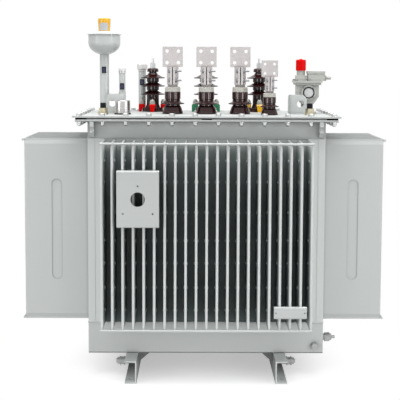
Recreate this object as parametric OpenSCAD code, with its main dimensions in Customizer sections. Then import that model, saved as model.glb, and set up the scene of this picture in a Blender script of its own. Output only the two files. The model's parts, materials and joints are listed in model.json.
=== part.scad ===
// Oil-filled power transformer: a corrugated cooling tank on two channel rails, with a bolted
// cover that carries porcelain bushings, an oil cup, pipes and a gas relay.
// Sizes are in millimetres. X runs along the tank, the low-voltage front faces -Y, Z points up
// and the rails stand on Z = 0.

/* [Base rails] */
// Height of each channel rail
rail_h = 112; // [90:1:130]
// Width of the rail flanges
rail_flange = 58; // [48:1:70]
// Thickness of the rail web and flanges
rail_t = 7; // [5:0.5:9]
// Thickness of the rail flanges at their edge
rail_tip_t = 5.5; // [4:0.5:7]
// Fillet between the rail web and flanges
rail_fillet = 4; // [2:0.5:6]
// Length of each rail from front to back
rail_len = 856; // [760:1:960]
// Clear distance between the two rail webs
rail_gauge = 676; // [560:1:760]
// Diameter of the anchor holes in the bottom flanges
anchor_d = 18; // [12:1:22]
// Distance from a rail end to its anchor hole
anchor_inset = 60; // [40:1:90]
// Reach of the triangular gussets behind the webs
gusset_reach = 62; // [40:1:90]
// Height of the gussets along the webs
gusset_h = 62; // [40:1:80]
// Height of the gussets at their free edge
gusset_lip = 8; // [4:1:14]
// Thickness of the gussets
gusset_t = 8; // [5:1:14]
// Distance of the gussets from the tank centre
gusset_y = 224; // [150:1:250]

/* [Earthing] */
// Height of the rail studs above the floor
stud_z = 76; // [60:1:82]
// Distance of the rail studs in front of the tank
stud_front = 10; // [0:1:40]
// Diameter of a rail stud
stud_d = 20; // [12:1:24]
// Reach of a rail stud past the rail flange
stud_out = 50; // [46:1:60]
// Diameter of the boss that carries a rail stud
boss_d = 30; // [24:1:36]
// Reach of the boss past the rail flange
boss_out = 6; // [3:1:10]
// Washer diameter of a rail stud
washer_d = 44; // [38:1:50]
// Washer thickness of a rail stud
washer_t = 5; // [3:0.5:6]
// Nut of a rail stud across its flats
stud_nut = 34; // [28:1:38]
// Height of the nut of a rail stud
stud_nut_h = 16; // [10:1:18]
// Lock nut of a rail stud across its flats
lock_nut = 30; // [26:1:34]
// Height of the lock nut of a rail stud
lock_nut_h = 12; // [8:1:14]
// Distance from the tank end to the earthing bolt
bolt_inset = 42; // [35:1:80]
// Height of the earthing bolt above the rails
bolt_z = 40; // [30:1:80]
// Pad diameter of the earthing bolt
bolt_pad_d = 36; // [30:1:42]
// Pad thickness of the earthing bolt
bolt_pad_t = 10; // [6:1:14]
// Head of the earthing bolt across its flats
bolt_head = 27; // [20:1:29]
// Height of the head of the earthing bolt
bolt_head_h = 14; // [8:1:18]

/* [Tank] */
// Length of the tank along X
tank_w = 1170; // [1140:1:1280]
// Depth of the tank along Y
tank_d = 560; // [530:1:640]
// Height of the plain band above the rails
skirt_h = 156; // [140:1:200]
// Height of the corrugated walls
wall_h = 920; // [780:1:1000]
// Height of the plain band under the flange
band_h = 83; // [60:1:120]
// Thickness of the tank plates
plate_t = 6; // [4:0.5:9]
// Leg of the corner angles
post_w = 35; // [25:1:45]
// Step from the corner angles back to the corrugated sheet
sheet_step = 2; // [1:0.5:2.5]
// Thickness of the corrugated sheet between the fins
sheet_t = 3; // [2:0.25:4]

/* [Cooling fins] */
// Distance between neighbouring fins
fin_pitch = 50; // [44:1:56]
// Thickness of a fin across its two sheets
fin_t = 12; // [8:0.5:16]
// Reach of the front and back fins
fin_reach = 210; // [140:1:260]
// Reach of the left fins
left_reach = 320; // [260:1:380]
// Reach of the right fins
right_reach = 295; // [260:1:380]
// Least plain sheet beside the outer front fins
front_fin_edge = 45; // [30:1:60]
// Least plain sheet beside the outer side fins
side_fin_edge = 18; // [12:1:40]
// Plain sheet left above and below the fins
fin_end_gap = 6; // [3:1:15]
// Height over which a fin end is pressed together
press_h = 26; // [16:1:40]
// Height of the flat welded lip at a fin end
lip_h = 9; // [4:1:14]
// Thickness of the welded lip at a fin end
lip_t = 3.5; // [2:0.25:5]
// Diameter of the tie rods across the fin tips
rod_d = 12; // [8:1:16]
// Width of the oval pressing in a side fin
oval_w = 52; // [36:1:70]
// Height of the oval pressing in a side fin
oval_h = 505; // [300:1:600]
// Depth of the oval pressing on each face
oval_depth = 3.5; // [1:0.25:3.5]

/* [Cover] */
// Overhang of the tank flange
flange_over = 55; // [45:1:70]
// Thickness of the tank flange
flange_t = 10; // [8:1:16]
// Setback of the gasket from the flange edge
gasket_in = 14; // [12:1:18]
// Width of the gasket
gasket_w = 38; // [28:1:40]
// Thickness of the gasket
gasket_t = 9; // [6:1:12]
// Width of the stop bars outside the gasket
stop_w = 6; // [4:1:7]
// Setback of the stop bars from the flange edge
stop_in = 4; // [1:0.5:4]
// Room between the stop bars and the cover
stop_room = 1; // [0.5:0.5:2]
// Opening between the stop bars at the middle of each side
stop_gap = 50; // [30:1:80]
// Distance from the flange corners to the stop bars
stop_end = 57; // [40:1:80]
// Overhang of the cover past the tank ends
cover_over = 71; // [55:1:85]
// Thickness of the cover
cover_t = 8; // [6:1:14]
// Bevel across the corners of the cover
cover_bevel = 16; // [6:1:30]
// Thickness of the corner lugs under the flange
corner_lug_t = 19; // [12:1:24]
// Height of the corner lugs
corner_lug_h = 76; // [50:1:80]
// Distance from the tank end to the corner lugs
corner_lug_in = 16; // [10:1:30]
// Reach of the corner lugs at their foot
corner_lug_toe = 25; // [15:1:35]
// Depth of the sling notch in the corner lugs
notch_depth = 14; // [8:1:18]

/* [Lifting lugs] */
// Width of a bent lifting lug
lug_w = 92; // [84:1:100]
// Height of a lifting lug
lug_h = 100; // [90:1:110]
// Plate thickness of a lifting lug
lug_t = 14; // [10:1:16]
// Outer radius of the bend of a lifting lug
lug_bend = 18; // [17:1:24]
// Straight length behind the bend of a lifting lug
lug_return = 30; // [15:1:40]
// Hole diameter of a lifting lug
lug_hole_d = 35; // [25:1:38]
// Distance from the hole to the outer edge of a lifting lug
lug_hole_in = 32; // [28:1:40]
// Height of the hole of a lifting lug
lug_hole_z = 53; // [45:1:60]
// Radius of the outer top corner of a lifting lug
lug_round = 31; // [20:1:36]
// Radius of the inner top corner of a lifting lug
lug_inner_round = 10; // [4:1:14]
// Distance from the tank ends to the inner edge of a lifting lug
lug_in = 166; // [155:1:175]
// Front-to-back place of the lifting lugs
lug_y = -90; // [-96:1:-84]

/* [Low-voltage bushings] */
// Distance between the phase bushings
lv_pitch = 172; // [160:1:190]
// Front-to-back place of the phase bushings
lv_y = -68; // [-90:1:-50]
// Place of the neutral bushing along X
neutral_x = 316; // [305:1:330]
// Front-to-back place of the neutral bushing
neutral_y = -158; // [-175:1:-135]
// Size of the neutral bushing against a phase bushing
neutral_scale = 0.8; // [0.7:0.02:0.86]
// Height of a phase porcelain
lv_h = 113; // [95:1:130]
// Foot diameter of a phase porcelain
lv_foot_d = 106; // [100:1:120]
// Shed diameter of a phase porcelain
lv_shed_d = 119; // [110:1:124]
// Barrel diameter of a phase porcelain
lv_barrel_d = 81; // [74:1:90]
// Groove under the barrel and the shed of a phase porcelain
lv_groove = 3; // [1:0.5:5]
// Height of the shed rim of a phase porcelain
lv_shed_z = 53; // [46:1:58]
// Radius of the shed rim and foot edge of a phase porcelain
lv_rim_r = 3; // [2:0.5:3.5]
// Setback of the pressed cap from the barrel
lv_cap_in = 1.5; // [0.5:0.5:4]
// Height of the pressed cap on a phase porcelain
lv_cap_h = 25; // [18:1:34]
// Round on the upper edge of the pressed cap
lv_cap_round = 6; // [3:1:10]
// Terminal nut across its flats
lv_nut = 44; // [38:1:50]
// Height of the terminal nut
lv_nut_h = 12; // [8:1:16]
// Diameter of the terminal stud
lv_stud_d = 30; // [22:1:34]
// Diameter of the terminal clamp
clamp_d = 59; // [50:1:66]
// Height of the terminal clamp
clamp_h = 88; // [70:1:110]
// Thickness of each ear of the split clamp
ear_t = 10; // [7:1:13]
// Reach of the ears in front of the clamp
ear_reach = 12; // [8:1:20]
// Slit between the two ears
ear_slit = 5; // [3:0.5:8]
// Side of the square terminal palm
palm_w = 103; // [95:1:120]
// Thickness of the terminal palm
palm_t = 12; // [8:1:16]
// Hole diameter in the terminal palm
palm_hole_d = 18; // [12:1:22]
// Distance between the palm holes
palm_hole_pitch = 58; // [45:1:62]

/* [High-voltage bushings] */
// Distance between the high-voltage bushings
hv_pitch = 283; // [275:1:300]
// Front-to-back place of the high-voltage bushings
hv_y = 170; // [155:1:178]
// Body diameter of a high-voltage porcelain
hv_body_d = 66; // [58:1:74]
// Shed diameter of a high-voltage porcelain
hv_shed_d = 130; // [120:1:136]
// Radius of the shed rims
hv_rim_r = 3; // [2:0.5:4]
// Number of sheds
hv_sheds = 3; // [2:1:4]
// Distance between the sheds
hv_shed_pitch = 43.5; // [38:0.5:50]
// Height of the lowest shed rim above the cover
hv_first_shed = 93; // [86:1:100]
// Height of the flared root above a shed rim
hv_flare_h = 18; // [14:1:20]
// Draw-in of the groove above the flared root of a shed
hv_groove = 6; // [3:1:9]
// Reach of the flared root of a shed
hv_flare = 18; // [12:1:22]
// Neck diameter under the head of a high-voltage porcelain
hv_neck_d = 40; // [34:1:46]
// Head diameter of a high-voltage porcelain
hv_head_d = 60; // [52:1:66]
// Height of the head of a high-voltage porcelain
hv_head_h = 20; // [14:1:26]
// Foot diameter of a high-voltage porcelain
hv_foot_d = 108; // [100:1:116]
// Height of the foot under the clamps
hv_foot_h = 22; // [14:1:26]
// Nuts of a high-voltage terminal across their flats
hv_nut = 24; // [20:1:30]
// Height of each nut of a high-voltage terminal
hv_nut_h = 11; // [8:1:14]
// Washer diameter of a high-voltage terminal
hv_washer_d = 30; // [26:1:36]
// Washer thickness of a high-voltage terminal
hv_washer_t = 3; // [2:0.5:4]
// Diameter of the terminal stud
hv_stud_d = 12; // [8:1:16]
// Free length of the terminal stud
hv_stud_h = 24; // [16:1:32]
// Height of the coloured clamps
claw_h = 41; // [34:1:48]
// Width of a clamp at its top
claw_w = 32; // [26:1:38]
// Width of a clamp at its foot
claw_foot_w = 18; // [12:1:24]
// Reach of a clamp outside the porcelain foot
claw_out = 21; // [16:1:26]
// Reach of a clamp over the porcelain foot
claw_grip = 13; // [8:1:16]
// Thickness of a clamp leg at its foot
claw_toe = 13; // [8:1:15]
// Room between a clamp and the porcelain foot
claw_room = 0.3; // [0.2:0.1:0.6]
// Chamfer on the outer edge of a clamp
claw_chamfer = 5; // [2:1:8]

/* [Oil cup and pipes] */
// Distance from the left end of the tank to the oil cup column
cup_in = 57; // [45:1:65]
// Front-to-back place of the oil cup column
cup_y = 30; // [15:1:50]
// Diameter of the oil cup column
column_d = 48; // [42:1:56]
// Height of the column above the cover
column_h = 299; // [270:1:340]
// Height of the welded collars under the pipes
collar_h = 8; // [5:1:12]
// Reach of the collar of the column
column_collar = 11; // [6:1:16]
// Reach of the collar of the filler pipe
filler_collar = 8; // [5:1:12]
// Bowl diameter
bowl_d = 166; // [150:1:190]
// Bowl height
bowl_h = 108; // [95:1:130]
// Height of the rounded bottom of the bowl
bowl_round_h = 63; // [50:1:75]
// Reach of the rolled rim of the bowl
bowl_rim = 5; // [4:1:8]
// Height of the rolled rim of the bowl
bowl_rim_h = 6; // [4:1:8]
// Diameter of the seat under the bowl cap
seat_d = 80; // [70:1:100]
// Height of the seat under the bowl cap
seat_h = 13; // [8:1:18]
// Top diameter of the bowl cap
bowl_cap_d = 66; // [60:1:68]
// Foot diameter of the bowl cap
bowl_cap_foot_d = 59; // [48:1:60]
// Height of the bowl cap
bowl_cap_h = 67; // [50:1:80]
// Distance from the column to the gauge pipe
gauge_gap = 92; // [85:1:105]
// Diameter of the gauge pipe
gauge_d = 33; // [28:1:38]
// Height of the gauge pipe above the cover
gauge_h = 205; // [180:1:240]
// Height of the cap of the gauge pipe
gauge_cap_h = 24; // [18:1:30]
// Reach of the cap past the gauge pipe
gauge_cap_over = 3; // [2:0.5:5]
// Reach of the sleeve at the foot of the gauge pipe
gauge_sleeve = 2; // [1:0.5:4]
// Width of the slots between the fingers of the gauge cap
finger_slot = 5; // [3:1:7]
// Height of the branch pipe above the cover
branch_z = 80; // [70:1:95]
// Diameter of the branch pipe
branch_d = 38; // [34:1:42]
// Place of the filler pipe along X
filler_x = -344; // [-356:1:-340]
// Front-to-back place of the filler pipe
filler_y = 250; // [246:1:262]
// Diameter of the filler pipe
filler_d = 40; // [32:1:42]
// Height of the filler pipe above the cover
filler_h = 215; // [190:1:240]
// Height of the cap of the filler pipe
filler_cap_h = 38; // [30:1:46]
// Reach of the cap past the filler pipe
filler_cap_over = 8; // [5:1:10]
// Width of the level windows
window_w = 22; // [16:1:24]
// Height of the level windows
window_h = 28; // [22:1:36]
// Depth of the seats of the level windows
window_depth = 8; // [6:0.5:9]
// Reach of the level windows past the pipes
window_out = 1.5; // [0.5:0.5:3]
// Height of the window of the column
column_window_z = 222; // [190:1:240]
// Height of the window of the gauge pipe
gauge_window_z = 137; // [120:1:160]
// Height of the window of the filler pipe
filler_window_z = 155; // [120:1:170]

/* [Cover fittings] */
// Diameter of the relief cup
relief_d = 75; // [66:1:80]
// Height of the relief cup with its ring
relief_h = 71; // [55:1:85]
// Round on the upper edge of the relief cup
relief_round = 5; // [2:1:10]
// Reach of the ring past the relief cup
relief_ring_over = 4; // [2:1:6]
// Height of the ring under the relief cup
relief_ring_h = 6; // [4:1:10]
// Distance of the relief cup outside the inner edge of the lifting lug
relief_out = 3; // [0:1:8]
// Distance of the relief cup in front of the lifting lug
relief_front = 52; // [50:1:56]
// Distance from the tank ends to the thermometer pockets
pocket_in = 67; // [59:1:73]
// Front-to-back place of the thermometer pockets
pocket_y = -165; // [-172:1:-158]
// Flange diameter of a thermometer pocket
pocket_flange_d = 52; // [46:1:54]
// Flange height of a thermometer pocket
pocket_flange_h = 9; // [6:1:12]
// Hexagon of a thermometer pocket across its flats
pocket_hex = 38; // [30:1:40]
// Height of the hexagon of a thermometer pocket
pocket_hex_h = 24; // [16:1:30]
// Cap diameter of a thermometer pocket
pocket_cap_d = 30; // [24:1:34]
// Cap height of a thermometer pocket
pocket_cap_h = 26; // [18:1:32]
// Round on the upper edge of the pocket cap
pocket_cap_round = 3; // [1:0.5:5]

/* [Gas relay] */
// Distance from the right end of the tank to the gas relay
relay_in = 64; // [58:1:70]
// Front-to-back place of the gas relay
relay_y = 0; // [-4:1:12]
// Width of the relay body
relay_w = 112; // [106:1:116]
// Front-to-back depth of the relay body
relay_d = 100; // [90:1:106]
// Height of the relay body
relay_body_h = 97; // [90:1:110]
// Height of the tapered lower part of the relay body
relay_taper_h = 37; // [25:1:45]
// Draw-in of the tapered lower part on each side
relay_taper = 26; // [15:1:30]
// Height of the neck under the relay body
relay_neck_h = 52; // [44:1:60]
// Diameter of the neck under the relay body
relay_neck_d = 62; // [56:1:66]
// Foot diameter of the relay neck
relay_foot_d = 96; // [86:1:100]
// Foot height of the relay neck
relay_foot_h = 9; // [6:1:12]
// Sight glass diameter of the relay
glass_d = 48; // [42:1:48]
// Thickness of the sight glass
glass_t = 6; // [4:1:7]
// Width of the ring around the sight glass
glass_ring = 5; // [4:0.5:8]
// Depth of the ring around the sight glass
glass_ring_h = 9; // [8:1:11]
// Flange diameter of the sight glass
glass_flange_d = 77; // [72:1:78]
// Reach of the flange of the sight glass
glass_flange_h = 8; // [6:1:10]
// Depth of the seat of the sight glass
glass_seat = 6; // [4:1:6]
// Distance of the sight glass beside the relay centre
glass_x = 3; // [-4:1:8]
// Distance from the top of the relay body down to the sight glass
glass_drop = 39; // [39:1:44]
// Overhang of the lower plate of the relay head
plate_over = 10; // [6:1:12]
// Overhang of the upper plate of the relay head
top_plate_over = 16; // [12:1:20]
// Thickness of each plate of the relay head
head_plate_t = 10.5; // [8:0.5:13]
// Distance from the relay centre to the turret
turret_x = 33; // [30:1:38]
// Side of the square turret
turret_d = 54; // [48:1:56]
// Turret height
turret_h = 27; // [20:1:34]
// Diameter of the turret neck
turret_neck_d = 43; // [38:1:46]
// Height of the turret neck
turret_neck_h = 25; // [18:1:32]
// Diameter of the relay cap
relay_cap_d = 51; // [46:1:56]
// Height of the relay cap
relay_cap_h = 56; // [45:1:66]
// Distance from the relay centre to the terminal box
box_x = 2; // [0:1:3]
// Length of the terminal box
box_w = 84; // [76:1:92]
// Front-to-back depth of the terminal box
box_d = 84; // [70:1:96]
// Height of the terminal box without its lid
box_h = 36; // [28:1:44]
// Height of the lid of the terminal box
lid_h = 13; // [8:1:16]
// Overhang of the lid of the terminal box
lid_over = 2.5; // [1:0.5:4]
// Height of the gland above the relay head plates
gland_z = 14; // [13:1:18]
// Nut of the gland across its flats
gland_nut = 26; // [20:1:26]
// Length of the nut of the gland
gland_nut_h = 12; // [8:1:16]
// Diameter of the gland stub
gland_d = 16; // [12:1:20]
// Length of the gland stub
gland_h = 24; // [16:1:30]

/* [Front plates and drain] */
// Width of the instrument plate
inst_w = 200; // [170:1:230]
// Height of the instrument plate
inst_h = 270; // [220:1:300]
// Depth of the folded edges of the instrument plate
inst_fold = 40; // [25:1:60]
// Depth of the folded sides of the instrument plate
inst_side = 22; // [12:1:24]
// Diameter of the instrument hole
inst_hole_d = 68; // [50:1:90]
// Distance from the top of the corrugated wall to the instrument plate centre
inst_drop = 271; // [200:1:400]
// Diameter of the instrument screw holes
inst_screw_d = 8; // [5:1:10]
// Height of the upper instrument screw hole above the plate centre
inst_screw_up = 63; // [55:1:75]
// Depth of the lower instrument screw holes below the plate centre
inst_screw_down = 68; // [55:1:75]
// Distance of the lower instrument screw holes from the middle
inst_screw_side = 70; // [50:1:72]
// Width of the blank name plate
name_w = 157; // [120:1:190]
// Height of the blank name plate
name_h = 59; // [45:1:75]
// Depth of the folded edges of the name plate
name_fold = 14; // [10:1:24]
// Depth of the folded sides of the name plate
name_side = 8; // [6:1:9]
// Distance from the bottom of the corrugated wall to the name plate centre
name_rise = 102; // [80:1:300]
// Diameter of the name plate screw holes
name_screw_d = 6; // [4:1:8]
// Distance from the name plate ends to the screw holes
name_screw_in = 10; // [8:1:16]
// Outer bend radius of the folded sheet plates
fold_r = 8; // [5:1:10]
// Thickness of the folded sheet plates
fold_t = 3; // [2:0.5:4]
// Drain valve height above the rails
drain_z = 62; // [50:1:80]
// Distance of the drain valve behind the tank front
drain_y = 80; // [60:1:200]
// Flange diameter of the drain valve
drain_flange_d = 54; // [46:1:62]
// Flange thickness of the drain valve
drain_flange_t = 8; // [5:1:12]
// Neck diameter of the drain valve
drain_neck_d = 32; // [26:1:38]
// Length of each neck of the drain valve
drain_neck_h = 9; // [6:1:14]
// Hexagon of the drain valve across its flats
drain_hex = 40; // [34:1:46]
// Length of the hexagon of the drain valve
drain_hex_h = 26; // [18:1:34]
// Diameter of the drain spout
spout_d = 15; // [10:1:20]
// Length of the drain spout
spout_h = 27; // [15:1:32]

/* [Hidden] */
$fn = 64;
hex = 6;
cut = 1;

skirt_z = rail_h;
wall_z = skirt_z + skirt_h;
band_z = wall_z + wall_h;
flange_z = band_z + band_h;
gasket_z = flange_z + flange_t;
cover_z = gasket_z + gasket_t;
top_z = cover_z + cover_t;

flange_w = tank_w + 2 * flange_over;
flange_d = tank_d + 2 * flange_over;
sheet_w = tank_w - 2 * post_w;
sheet_d = tank_d - 2 * post_w;
fin_h = wall_h - 2 * fin_end_gap;
front_fins = floor((sheet_w - 2 * front_fin_edge) / fin_pitch) + 1;
side_fins = floor((sheet_d - 2 * side_fin_edge) / fin_pitch) + 1;
fin_tip_y = -(tank_d / 2 + fin_reach);

anchor_x = rail_gauge / 2 + rail_t + (rail_flange - rail_t) / 2;
anchor_y = rail_len / 2 - anchor_inset;

phases = [-1, 0, 1];
lv_terminal_z = lv_h + lv_cap_h;
hv_last_shed = hv_first_shed + (hv_sheds - 1) * hv_shed_pitch;
hv_head_z = hv_last_shed + hv_shed_pitch * 0.71;
hv_top = hv_head_z + hv_head_h;
claws = 4;
fingers = 8;

lug_x = tank_w / 2 - lug_in;
cup_x = cup_in - tank_w / 2;
pocket_x = tank_w / 2 - pocket_in;
relay_x = tank_w / 2 - relay_in;

bowl_z = top_z + column_h;
seat_z = bowl_z + bowl_h;
relief_x = -(lug_x + relief_out);
relief_y = lug_y - relief_front;
pocket_cap_z = pocket_flange_h + pocket_hex_h;
head_z = relay_neck_h + relay_body_h;
turret_z = head_z + 2 * head_plate_t;
relay_cap_z = turret_z + turret_h + turret_neck_h;
inst_x = -6.5 * fin_pitch;
name_x = 8 * fin_pitch;

paint = "#c9cdcb";
pale_paint = "#d4d8d6";
zinc = "#b9bcbd";
tin = "#c4bdb8";
porcelain = "#2c1712";
cream = "#d9d5c8";
black = "#17181a";
white = "#eeeeea";
blue = "#20285c";
chrome = "#d8dadb";
red = "#d8201c";
yellow = "#f0b51a";
green = "#1f8b3a";
brass = "#c9a25a";
glass = "#c3ccd0";

// Points along an arc, for the rounded edges of revolved profiles.
function arc(centre, r, from, to, steps = 4) =
    [for (i = [0:steps]) let (a = from + (to - from) * i / steps) centre + r * [cos(a), sin(a)]];

// Places of a row of fins about its middle.
function fin_places(count) = [for (i = [0:count - 1]) (i - (count - 1) / 2) * fin_pitch];

// Hexagon prism measured across its flats.
module hex_prism(flats, height) {
    cylinder(d = flats / cos(30), h = height, $fn = hex);
}

// Rectangular ring with its outer faces at the given sizes.
module ring(w, d, wall, height) {
    difference() {
        translate([-w / 2, -d / 2, 0]) cube([w, d, height]);
        translate([-w / 2 + wall, -d / 2 + wall, -cut])
            cube([w - 2 * wall, d - 2 * wall, height + 2 * cut]);
    }
}

// Channel rail with its web at the inner side and its flanges pointing to +X.
module channel() {
    inner = rail_t + rail_fillet;
    difference() {
        translate([rail_gauge / 2, rail_len / 2, 0]) rotate([90, 0, 0]) linear_extrude(rail_len)
            polygon(concat(
                [[0, 0], [rail_flange, 0], [rail_flange, rail_tip_t]],
                arc([inner, inner], rail_fillet, 270, 180),
                arc([inner, rail_h - inner], rail_fillet, 180, 90),
                [[rail_flange, rail_h - rail_tip_t], [rail_flange, rail_h], [0, rail_h]]));
        for (side = [-1, 1])
            translate([anchor_x, side * anchor_y, -cut]) cylinder(d = anchor_d, h = rail_t + 2 * cut);
    }
}

module left_base_rail() {
    color(paint) mirror([1, 0, 0]) channel();
}

module right_base_rail() {
    color(paint) channel();
}

// Triangular plates in the corner between the rail webs and the tank floor.
module rail_gussets() {
    web = rail_gauge / 2;
    color(paint)
    for (sx = [0, 1], sy = [-1, 1])
        mirror([sx, 0, 0]) translate([0, sy * gusset_y + gusset_t / 2, 0])
            rotate([90, 0, 0]) linear_extrude(gusset_t)
                polygon([[web, rail_h], [web - gusset_reach, rail_h],
                    [web - gusset_reach, rail_h - gusset_lip], [web, rail_h - gusset_h]]);
}

// Stud with its boss, two washers and two nuts, standing on the rail web and pointing to +Z.
module rail_stud() {
    flange = rail_flange - rail_t;
    first_washer = flange + boss_out;
    nut = first_washer + washer_t;
    second_washer = nut + stud_nut_h;
    cylinder(d = stud_d, h = flange + stud_out);
    cylinder(d = boss_d, h = first_washer);
    translate([0, 0, first_washer]) cylinder(d = washer_d, h = washer_t);
    translate([0, 0, nut]) hex_prism(stud_nut, stud_nut_h);
    translate([0, 0, second_washer]) cylinder(d = washer_d, h = washer_t);
    translate([0, 0, second_washer + washer_t]) hex_prism(lock_nut, lock_nut_h);
}

// Earthing studs on the outer side of both rails and an earthing bolt on the front of the tank.
module earth_studs() {
    color(zinc) {
        for (sx = [-1, 1])
            translate([sx * (rail_gauge / 2 + rail_t), -tank_d / 2 - stud_front, stud_z])
                rotate([0, sx * 90, 0]) rail_stud();
        translate([tank_w / 2 - bolt_inset, -tank_d / 2, skirt_z + bolt_z]) rotate([90, 0, 0]) {
            cylinder(d = bolt_pad_d, h = bolt_pad_t);
            translate([0, 0, bolt_pad_t]) hex_prism(bolt_head, bolt_head_h);
        }
    }
}

// Floor plate with the plain band welded around it.
module lower_frame() {
    color(paint) difference() {
        translate([-tank_w / 2, -tank_d / 2, skirt_z]) cube([tank_w, tank_d, skirt_h]);
        translate([-tank_w / 2 + plate_t, -tank_d / 2 + plate_t, skirt_z + plate_t])
            cube([tank_w - 2 * plate_t, tank_d - 2 * plate_t, skirt_h]);
    }
}

// Angles that close the four corners between the corrugated sheets.
module corner_posts() {
    color(paint)
    for (sx = [0, 1], sy = [0, 1])
        mirror([sx, 0, 0]) mirror([0, sy, 0])
            translate([-tank_w / 2, -tank_d / 2, wall_z]) linear_extrude(wall_h)
                polygon([[0, 0], [post_w, 0], [post_w, plate_t], [plate_t, plate_t],
                    [plate_t, post_w], [0, post_w]]);
}

// Plan of one fin: a flat pocket with a rounded tip, pointing to -Y.
module fin_plan(reach) {
    translate([-fin_t / 2, -(reach - fin_t / 2)]) square([fin_t, reach - fin_t / 2]);
    translate([0, -(reach - fin_t / 2)]) circle(d = fin_t);
}

// Edge view of one fin: full thickness between two pressed and welded ends.
module fin_edge() {
    f = fin_t / 2;
    l = lip_t / 2;
    polygon([[-l, 0], [l, 0], [l, lip_h], [f, press_h], [f, fin_h - press_h],
        [l, fin_h - lip_h], [l, fin_h], [-l, fin_h], [-l, fin_h - lip_h],
        [-f, fin_h - press_h], [-f, press_h], [-l, lip_h]]);
}

// Upright oval of the pressing in a side fin, as a cutter along X.
module oval_cutter(depth) {
    straight = oval_h - oval_w;
    for (s = [-1, 1])
        translate([0, 0, s * straight / 2]) rotate([0, 90, 0]) cylinder(d = oval_w, h = depth);
    translate([0, -oval_w / 2, -straight / 2]) cube([depth, oval_w, straight]);
}

module fin(reach, oval) {
    difference() {
        intersection() {
            linear_extrude(fin_h) fin_plan(reach);
            rotate([90, 0, 0]) linear_extrude(reach + cut) fin_edge();
        }
        if (oval) for (s = [0, 1])
            mirror([s, 0, 0]) translate([fin_t / 2 - oval_depth, -reach / 2, fin_h / 2])
                oval_cutter(oval_depth + cut);
    }
}

// Corrugated wall with its sheet behind Y = 0 and its fins pointing to -Y.
module fin_wall(width, fins, reach, oval) {
    translate([-width / 2, 0, 0]) cube([width, sheet_t, wall_h]);
    for (x = fin_places(fins))
        translate([x, 0, fin_end_gap]) fin(reach + sheet_step, oval);
}

module front_fin_wall() {
    color(pale_paint) translate([0, -tank_d / 2 + sheet_step, wall_z])
        fin_wall(sheet_w, front_fins, fin_reach, false);
}

module back_fin_wall() {
    color(pale_paint) rotate([0, 0, 180]) translate([0, -tank_d / 2 + sheet_step, wall_z])
        fin_wall(sheet_w, front_fins, fin_reach, false);
}

module left_fin_wall() {
    color(pale_paint) rotate([0, 0, -90]) translate([0, -tank_w / 2 + sheet_step, wall_z])
        fin_wall(sheet_d, side_fins, left_reach, true);
}

module right_fin_wall() {
    color(pale_paint) rotate([0, 0, 90]) translate([0, -tank_w / 2 + sheet_step, wall_z])
        fin_wall(sheet_d, side_fins, right_reach, true);
}

// Pair of tie rods across the tips of one wall, flush with its outer fins.
module rod_pair(fins, tip) {
    length = (fins - 1) * fin_pitch + fin_t;
    for (z = [fin_end_gap + rod_d / 2, wall_h - fin_end_gap - rod_d / 2])
        translate([-length / 2, -tip - rod_d / 2, wall_z + z])
            rotate([0, 90, 0]) cylinder(d = rod_d, h = length);
}

module fin_tie_rods() {
    color(white) {
        rod_pair(front_fins, tank_d / 2 + fin_reach);
        rotate([0, 0, 180]) rod_pair(front_fins, tank_d / 2 + fin_reach);
        rotate([0, 0, -90]) rod_pair(side_fins, tank_w / 2 + left_reach);
        rotate([0, 0, 90]) rod_pair(side_fins, tank_w / 2 + right_reach);
    }
}

module upper_frame() {
    color(paint) translate([0, 0, band_z]) ring(tank_w, tank_d, plate_t, band_h);
}

// Stop bars along one side of the flange, split at the middle and lower than the gasket.
module stop_bars(side) {
    length = side / 2 - stop_end - stop_gap / 2;
    for (s = [0, 1])
        mirror([s, 0, 0]) translate([stop_gap / 2, stop_in, 0])
            cube([length, stop_w, flange_t + gasket_t - stop_room]);
}

module tank_flange() {
    color(paint) translate([0, 0, flange_z]) {
        ring(flange_w, flange_d, flange_over + plate_t, flange_t);
        for (a = [0, 180]) {
            rotate([0, 0, a]) translate([0, -flange_d / 2, 0]) stop_bars(flange_w);
            rotate([0, 0, a + 90]) translate([0, -flange_w / 2, 0]) stop_bars(flange_d);
        }
    }
}

// Plates with a sling notch at the tank corners, under the flange.
module corner_lugs() {
    notch_z = corner_lug_h / 2;
    color(paint)
    for (sx = [0, 1], sy = [0, 1])
        mirror([sx, 0, 0]) mirror([0, sy, 0])
            translate([tank_w / 2 - corner_lug_in, -tank_d / 2, flange_z - corner_lug_h])
                rotate([90, 0, -90]) linear_extrude(corner_lug_t) difference() {
                    polygon([[0, 0], [corner_lug_toe, 0], [flange_over, notch_z - notch_depth],
                        [flange_over, corner_lug_h], [0, corner_lug_h]]);
                    translate([flange_over, notch_z]) circle(r = notch_depth);
                }
}

module cover_gasket() {
    color(black) translate([0, 0, gasket_z])
        ring(flange_w - 2 * gasket_in, flange_d - 2 * gasket_in, gasket_w, gasket_t);
}

module cover_plate() {
    w = tank_w / 2 + cover_over;
    d = flange_d / 2;
    b = cover_bevel;
    color(pale_paint) translate([0, 0, cover_z]) linear_extrude(cover_t)
        polygon([[-w + b, -d], [w - b, -d], [w, -d + b], [w, d - b], [w - b, d], [-w + b, d],
            [-w, d - b], [-w, -d + b]]);
}

// Plan of a lifting lug: a plate along X that turns through a bend to +Y.
module lug_plan() {
    difference() {
        union() {
            translate([lug_bend, 0]) square([lug_w - lug_bend, lug_bend]);
            translate([0, lug_bend]) square([lug_bend, lug_return]);
            translate([lug_bend, lug_bend]) circle(r = lug_bend);
        }
        translate([lug_t, lug_t]) square([lug_w, lug_bend + lug_return]);
    }
}

// Front view of a lifting lug with its two rounded top corners.
module lug_face() {
    polygon(concat([[0, 0], [lug_w, 0]],
        arc([lug_w - lug_round, lug_h - lug_round], lug_round, 0, 90, 12),
        arc([lug_inner_round, lug_h - lug_inner_round], lug_inner_round, 90, 180, 8)));
}

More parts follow.
